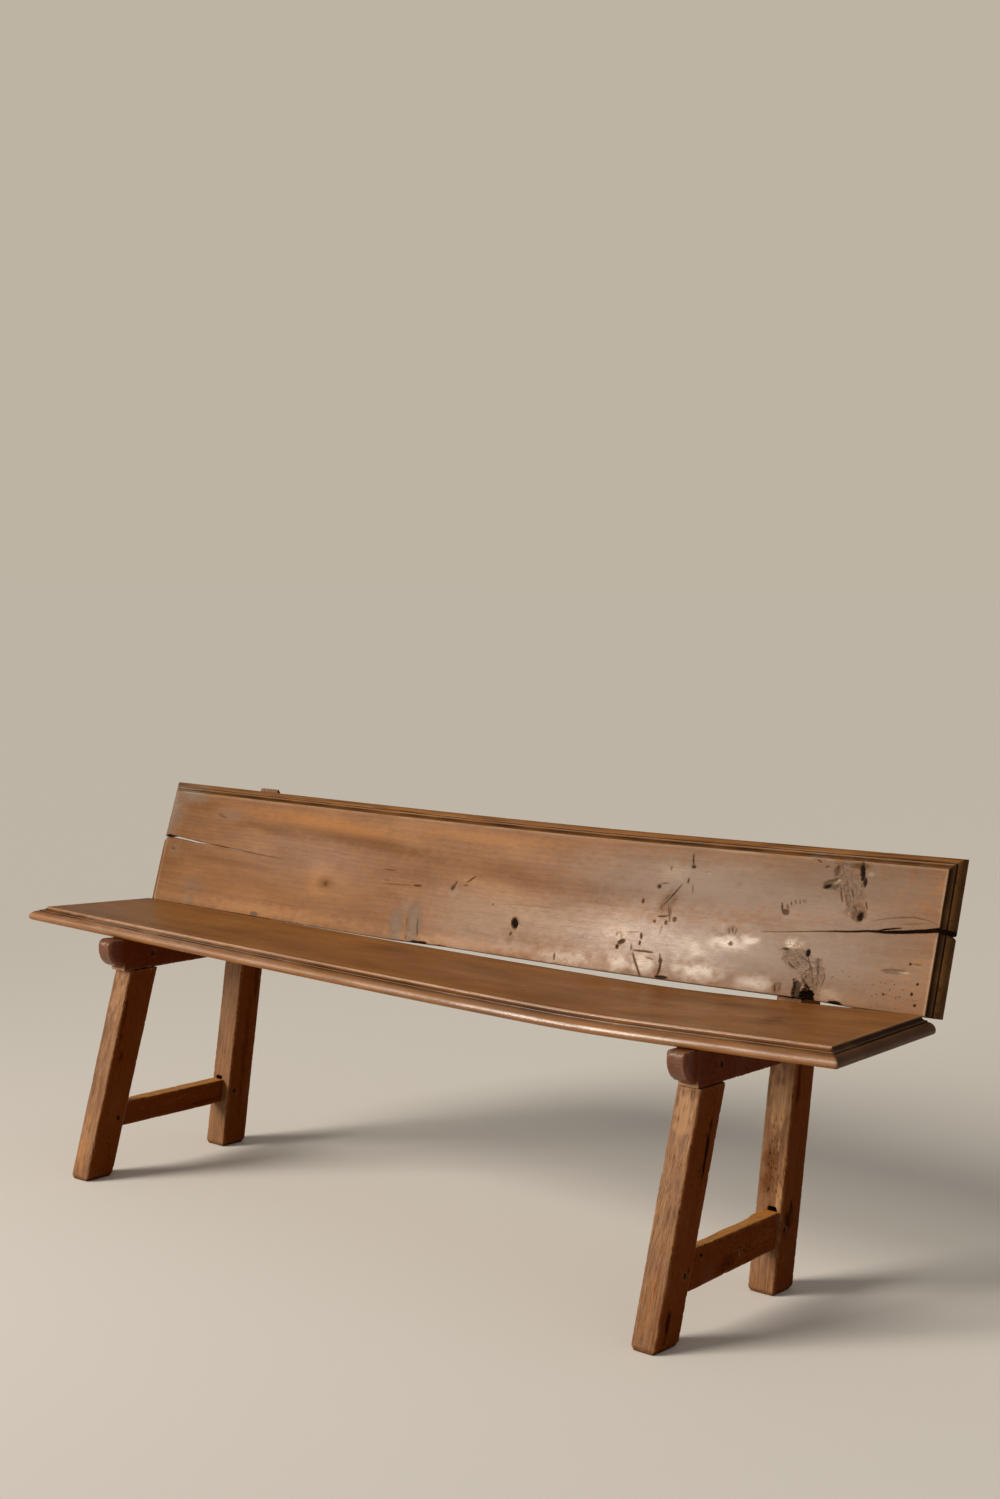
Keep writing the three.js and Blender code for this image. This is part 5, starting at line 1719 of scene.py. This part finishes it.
@dataclass
class Trestle:
    """One trestle: front leg, rear post, bearer, stretcher, and their pegs."""

    side: Side
    seed: float
    pegs: tuple[str, ...] = (
        "front_leg_peg", "rear_post_peg", "stretcher_front_peg", "stretcher_rear_peg",
        "seat_dowel_front", "seat_dowel_rear", "back_pin_lower", "back_pin_upper")
    wear: float = 0.5
    small_wear: float = 0.25
    chip_depth: float = 3.2
    most_wear: float = 2.0
    edge_scale: float = 0.068
    nose_start: float = -150.0
    sharp_angle: float = 55.0

    def build(self) -> None:
        """Dress every peg and wear every timber."""
        for peg in self.pegs:
            dress_node(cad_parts[f"{self.side.value}_{peg}"], PEG_WOOD)
        for index, kind in enumerate(TIMBERS):
            self.timber(kind, index)

    def timber(self, kind: Timber, index: int) -> None:
        """Round, wear and paint one timber from a copy of its solid.

        Args:
            kind: What timber it is.
            index: Its place in the list, which shifts its grain.
        """
        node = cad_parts[f"{self.side.value}_{kind.part.value}"]
        body = bmesh.new()
        body.from_mesh(node.data)
        bmesh.ops.remove_doubles(body, verts=body.verts, dist=0.01 * MM)
        piece = make_object(f"{node.name}_worn", body)
        modifier = piece.modifiers.new("even cells", "REMESH")
        modifier.mode = "VOXEL"
        modifier.voxel_size = kind.voxel * MM
        modifier.adaptivity = 0
        apply_modifiers(piece)
        self.wear_edges(piece.data, self.seed + 13 * index)
        points = read_vectors(piece.data.vertices, "co") / MM
        self.write_board(piece.data, points, kind, index)
        self.paint(piece.data, points, kind)
        finish_piece(piece, kind.finish, [node.name], self.sharp_angle)

    def wear_edges(self, mesh: bpy.types.Mesh, seed: float) -> None:
        """Smooth the arrises and sink the faces a little, unevenly.

        Args:
            mesh: Mesh of even cells, changed in place.
            seed: Shift of the noise.
        """
        body = bmesh.new()
        body.from_mesh(mesh)
        bmesh.ops.recalc_face_normals(body, faces=body.faces)
        bmesh.ops.smooth_vert(body, verts=body.verts, factor=0.5, use_axis_x=True,
                              use_axis_y=True, use_axis_z=True)
        body.normal_update()
        body.to_mesh(mesh)
        body.free()
        points = read_vectors(mesh.vertices, "co") / MM
        normals = read_vectors(mesh.vertex_normals, "vector")
        broad = value_noise(points, (34, 34, 60), seed)
        small = value_noise(points, (9, 9, 14), seed + 5)
        chips = np.clip(value_noise(points, (5, 5, 9), seed + 9) - 0.16, 0, 1)
        arris = np.clip(self.edges(mesh, points, normals), 0, 1)
        depth = (self.wear * (0.75 + broad) + self.small_wear * np.clip(small, 0, 1)
                 + self.chip_depth * chips * arris)
        sunk = points - normals * np.clip(depth, 0, self.most_wear)[:, None]
        write_points(mesh, sunk * MM)

    def write_board(self, mesh: bpy.types.Mesh, points: np.ndarray, kind: Timber,
                    index: int) -> None:
        """Keep each point's place in the timber's own board, grain along x.

        Args:
            mesh: Mesh that keeps the places.
            points: Its points, in millimetres.
            kind: What timber it is.
            index: Its place in the list.
        """
        around = points - points.mean(axis=0)
        local = np.column_stack([around @ np.array(kind.grain), around[:, 0],
                                 self.third(points, kind)])
        shift = np.array([self.seed * 173 + 411 * index, *kind.pith])
        write_vector(mesh, "board", local + shift)

    def paint(self, mesh: bpy.types.Mesh, points: np.ndarray, kind: Timber) -> None:
        """Give a timber its worn and grimy places, and paint shade and light by the way its faces
        turn.

        Args:
            mesh: Mesh that keeps the tones.
            points: Its points, in millimetres.
            kind: What timber it is.
        """
        normals = read_vectors(mesh.vertex_normals, "vector")
        edge = self.edges(mesh, points, normals)
        broken = np.clip(0.5 + 0.8 * value_noise(points, (12, 12, 22), self.seed + 41), 0, 1)
        broad = np.clip(0.6 + 0.7 * value_noise(points, (30, 30, 70), self.seed + 53), 0, 1)
        tones = {tone: np.zeros(len(points)) for tone in Tone}
        front, right, left, rear, top = (
            face.share(normals, 1.8, 0.55)
            for face in (Face.FRONT, Face.RIGHT, Face.LEFT, Face.REAR, Face.TOP))
        # Inner corners are painted darker.
        lay(tones, Tone.DIRT_AND_SHADE, np.clip(-edge * 1.2, 0, 0.9))
        # Painted shade: faces turned from the light take the smoky colour, right faces most, rear
        # faces less, left faces least.
        lay(tones, Tone.SMOKE, (0.85 + 0.3 * broad) * right)
        lay(tones, Tone.SMOKE, (0.45 + 0.3 * broad) * rear)
        lay(tones, Tone.SMOKE, 0.5 * broad * left)
        lay(tones, Tone.SPECK, 0.30 * broad * right)
        # Arrises are painted pale, as wear and as painted highlights, less on the shaded right
        # faces.
        lay(tones, Tone.RUB_AND_HIGHLIGHT, edge * 1.2 * broken * (1 - 0.55 * right))
        z, third = points[:, 2], self.third(points, kind)
        standing = kind.part in (Part.FRONT_LEG, Part.REAR_POST)
        along = z if standing else points[:, 1]
        if standing:
            # Fronts, which face the light, are painted paler: wear and painted light.
            lay(tones, Tone.RUB_AND_HIGHLIGHT, 0.32 * front * broad)
            lay(tones, Tone.SPECK, 0.22 * front * broken)
            lay(tones, Tone.DIRT_AND_SHADE, np.clip(1 - z / 10, 0, 1) * (0.3 + 0.5 * broken))
        if kind.part is Part.BEARER:
            nose = np.clip((self.nose_start - along) / 14, 0, 1)
            seen = np.clip(1.2 - right - 0.5 * left, 0, 1)
            lay(tones, Tone.ASH, nose * seen * (0.3 + 0.4 * broken))
            # The pad's front under the nose is painted pale: its own pale tone and painted light
            # in the nose's shade.
            pad = front * (z < z.min() + 12)
            lay(tones, Tone.RUB_AND_HIGHLIGHT, pad * (0.8 + 0.3 * broken))
            lay(tones, Tone.SPECK, nose * 0.5 * broken)
            lay(tones, Tone.GLOSS, 0.9 * nose)
        if kind.part is Part.STRETCHER:
            # Tops are painted golden: rubbed wear and painted light.
            lay(tones, Tone.GOLD, top * (0.7 + 0.5 * broken))
            lay(tones, Tone.RUB_AND_HIGHLIGHT, 0.15 * top * broken)
        rough = value_noise(points, (9, 9, 20), self.seed + 61)
        for spot in STAINS.get(f"{self.side.value}_{kind.part.value}", ()):
            sideways = spot.face in (Face.LEFT, Face.RIGHT)
            aside = third if sideways else points[:, 0] - points[:, 0].mean()
            share = spot.share(along, aside, normals, rough)
            for tone, strength in spot.tones:
                lay(tones, tone, share * strength)
        for tone, values in tones.items():
            write_value(mesh, tone.value, np.clip(values, 0, 1))

    @staticmethod
    def third(points: np.ndarray, kind: Timber) -> np.ndarray:
        """Return places across a timber, square to its grain and to x."""
        grain = np.array(kind.grain)
        return (points - points.mean(axis=0)) @ np.cross(grain, np.array([1.0, 0.0, 0.0]))

    def edges(self, mesh: bpy.types.Mesh, points: np.ndarray, normals: np.ndarray) -> np.ndarray:
        """Find outward and inward edges of a mesh of even cells.

        Args:
            mesh: The mesh.
            points: Its points, in millimetres.
            normals: Their normals.

        Returns:
            Above 0 on arrises, below 0 in inner corners, 0 on flats.
        """
        pairs = np.zeros(len(mesh.edges) * 2, int)
        mesh.edges.foreach_get("vertices", pairs)
        pairs = pairs.reshape(-1, 2)
        count = np.bincount(pairs.ravel(), minlength=len(points)).astype(float)
        bulge = np.zeros(len(points))
        gap = points[pairs[:, 0]] - points[pairs[:, 1]]
        np.add.at(bulge, pairs[:, 0], np.einsum("ij,ij->i", gap, normals[pairs[:, 0]]))
        np.add.at(bulge, pairs[:, 1], np.einsum("ij,ij->i", -gap, normals[pairs[:, 1]]))
        bulge /= np.maximum(count, 1)
        cell = np.median(np.linalg.norm(gap, axis=1))
        for _ in range(5):
            spread = np.zeros(len(points))
            np.add.at(spread, pairs[:, 0], bulge[pairs[:, 1]])
            np.add.at(spread, pairs[:, 1], bulge[pairs[:, 0]])
            bulge = 0.5 * bulge + 0.5 * spread / np.maximum(count, 1)
        return bulge / (self.edge_scale * cell ** 2)


def dress_node(node: bpy.types.Object, finish: WoodFinish) -> None:
    """Give a node that keeps its shape its wood.

    Args:
        node: The node.
        finish: Its wood.
    """
    if not node.material_slots:
        node.data.materials.append(materials[finish.slot])
    for slot in node.material_slots:
        slot.material = materials[finish.slot]
    log.info("%s: kept as it is", node.name)


@dataclass
class Studio:
    """Plain pale room: floor, soft light from the front left, and the camera."""

    floor_size: float = 400.0
    floor_colour: str = "#f4f1ec"
    sky_colour: str = "#beb4a4"
    fill_colour: str = "#fff6ea"
    fill: float = 0.24
    sun_colour: str = "#fff5e6"
    sun_strength: float = 2.15
    sun_from: tuple[float, float, float] = (-0.50, -0.70, 0.48)
    sun_softness: float = math.radians(24)
    window_colour: str = "#fff6ea"
    window_power: float = 12.6
    window_place: tuple[float, float, float] = (-2.15, -3.1, 1.40)
    window_aim: tuple[float, float, float] = (0.3, 0.1, 0.5)
    window_width: float = 1.1
    window_height: float = 1.0
    window_spread: float = math.radians(90)
    lens: float = 50.598
    film: float = 24.0
    nearest: float = 0.05
    farthest: float = 200.0
    eye: tuple[float, float, float] = (2.3654, -2.6310, 1.1060)
    yaw: float = math.radians(40.106)
    pitch: float = math.radians(-4.663)
    roll: float = math.radians(0.911)

    def build(self) -> None:
        """Make the floor, the light, the sky and the camera."""
        self.make_floor()
        self.make_sky()
        self.make_daylight()
        self.make_window()
        self.make_camera()
        bpy.context.scene.view_settings.view_transform = "Standard"

    def make_floor(self) -> None:
        """Make the floor: painted, matt, plain."""
        body = bmesh.new()
        bmesh.ops.create_grid(body, x_segments=2, y_segments=2, size=self.floor_size / 2)
        floor = make_object("floor", body)
        material = bpy.data.materials.new("matt_floor_paint")
        material.use_nodes = True
        tree = material.node_tree
        tree.nodes.clear()
        shader = add_node(tree, "ShaderNodeBsdfPrincipled",
                          values={"Base Color": linear(self.floor_colour), "Roughness": 0.95,
                                  "Specular IOR Level": 0.1})
        add_node(tree, "ShaderNodeOutputMaterial", links={"Surface": shader.outputs["BSDF"]})
        floor.data.materials.append(material)

    def make_sky(self) -> None:
        """Make the even light of the room, and the pale backdrop that the camera sees."""
        world = bpy.data.worlds.new("room")
        bpy.context.scene.world = world
        world.use_nodes = True
        tree = world.node_tree
        tree.nodes.clear()
        seen = add_node(tree, "ShaderNodeLightPath").outputs["Is Camera Ray"]
        plain = add_node(tree, "ShaderNodeBackground",
                         values={"Color": linear(self.fill_colour), "Strength": self.fill})
        pale = add_node(tree, "ShaderNodeBackground",
                        values={"Color": linear(self.sky_colour), "Strength": 1.0})
        mix = add_node(tree, "ShaderNodeMixShader",
                       links={0: seen, 1: plain.outputs["Background"],
                              2: pale.outputs["Background"]})
        add_node(tree, "ShaderNodeOutputWorld", links={"Surface": mix.outputs["Shader"]})

    def make_daylight(self) -> None:
        """Make the soft main light from the front left."""
        light = bpy.data.lights.new("daylight", "SUN")
        light.energy = self.sun_strength
        light.angle = self.sun_softness
        light.color = linear(self.sun_colour)[:3]
        self.hang(light, Vector(self.sun_from), Vector((0, 0, 0)))

    def make_window(self) -> None:
        """Make the low window whose sheen lies on the back."""
        light = bpy.data.lights.new("window", "AREA")
        light.shape = "RECTANGLE"
        light.size = self.window_width
        light.size_y = self.window_height
        light.spread = self.window_spread
        light.energy = self.window_power
        light.color = linear(self.window_colour)[:3]
        self.hang(light, Vector(self.window_place), Vector(self.window_aim))

    @staticmethod
    def hang(light: bpy.types.Light, place: Vector, aim: Vector) -> None:
        """Put a light up, aimed at a point.

        Args:
            light: The light.
            place: Where it hangs, in metres.
            aim: The point it looks at.
        """
        lamp = bpy.data.objects.new(light.name, light)
        bpy.context.scene.collection.objects.link(lamp)
        turn = (aim - place).to_track_quat("-Z", "Y")
        lamp.matrix_world = Matrix.LocRotScale(place, turn, None)

    def make_camera(self) -> None:
        """Make the camera, level but for its roll, and look through it."""
        data = bpy.data.cameras.new("camera")
        data.sensor_fit = "HORIZONTAL"
        data.sensor_width = self.film
        data.lens = self.lens
        data.clip_start = self.nearest
        data.clip_end = self.farthest
        camera = bpy.data.objects.new("camera", data)
        bpy.context.scene.collection.objects.link(camera)
        look = Vector((-math.sin(self.yaw) * math.cos(self.pitch),
                       math.cos(self.yaw) * math.cos(self.pitch), math.sin(self.pitch)))
        level = Vector((math.cos(self.yaw), math.sin(self.yaw), 0))
        above = level.cross(look)
        right = math.cos(self.roll) * level + math.sin(self.roll) * above
        up = -math.sin(self.roll) * level + math.cos(self.roll) * above
        turn = Matrix((right, up, -look)).transposed().to_4x4()
        camera.matrix_world = Matrix.Translation(self.eye) @ turn
        bpy.context.scene.camera = camera


def main() -> None:
    """Build the bench's pieces in order, then the room."""
    logging.basicConfig(level=logging.INFO, format="%(message)s")
    for finish in (SEAT_WOOD, BACK_WOOD, BEARER_WOOD, LEG_WOOD, STRETCHER_WOOD, PEG_WOOD):
        materials[finish.slot] = finish.build()
    SEAT.build()
    BACK.build()
    for side, seed in ((Side.LEFT, 2.0), (Side.RIGHT, 9.0)):
        Trestle(side, seed).build()
    Studio().build()


if __name__ == "__main__":
    main()
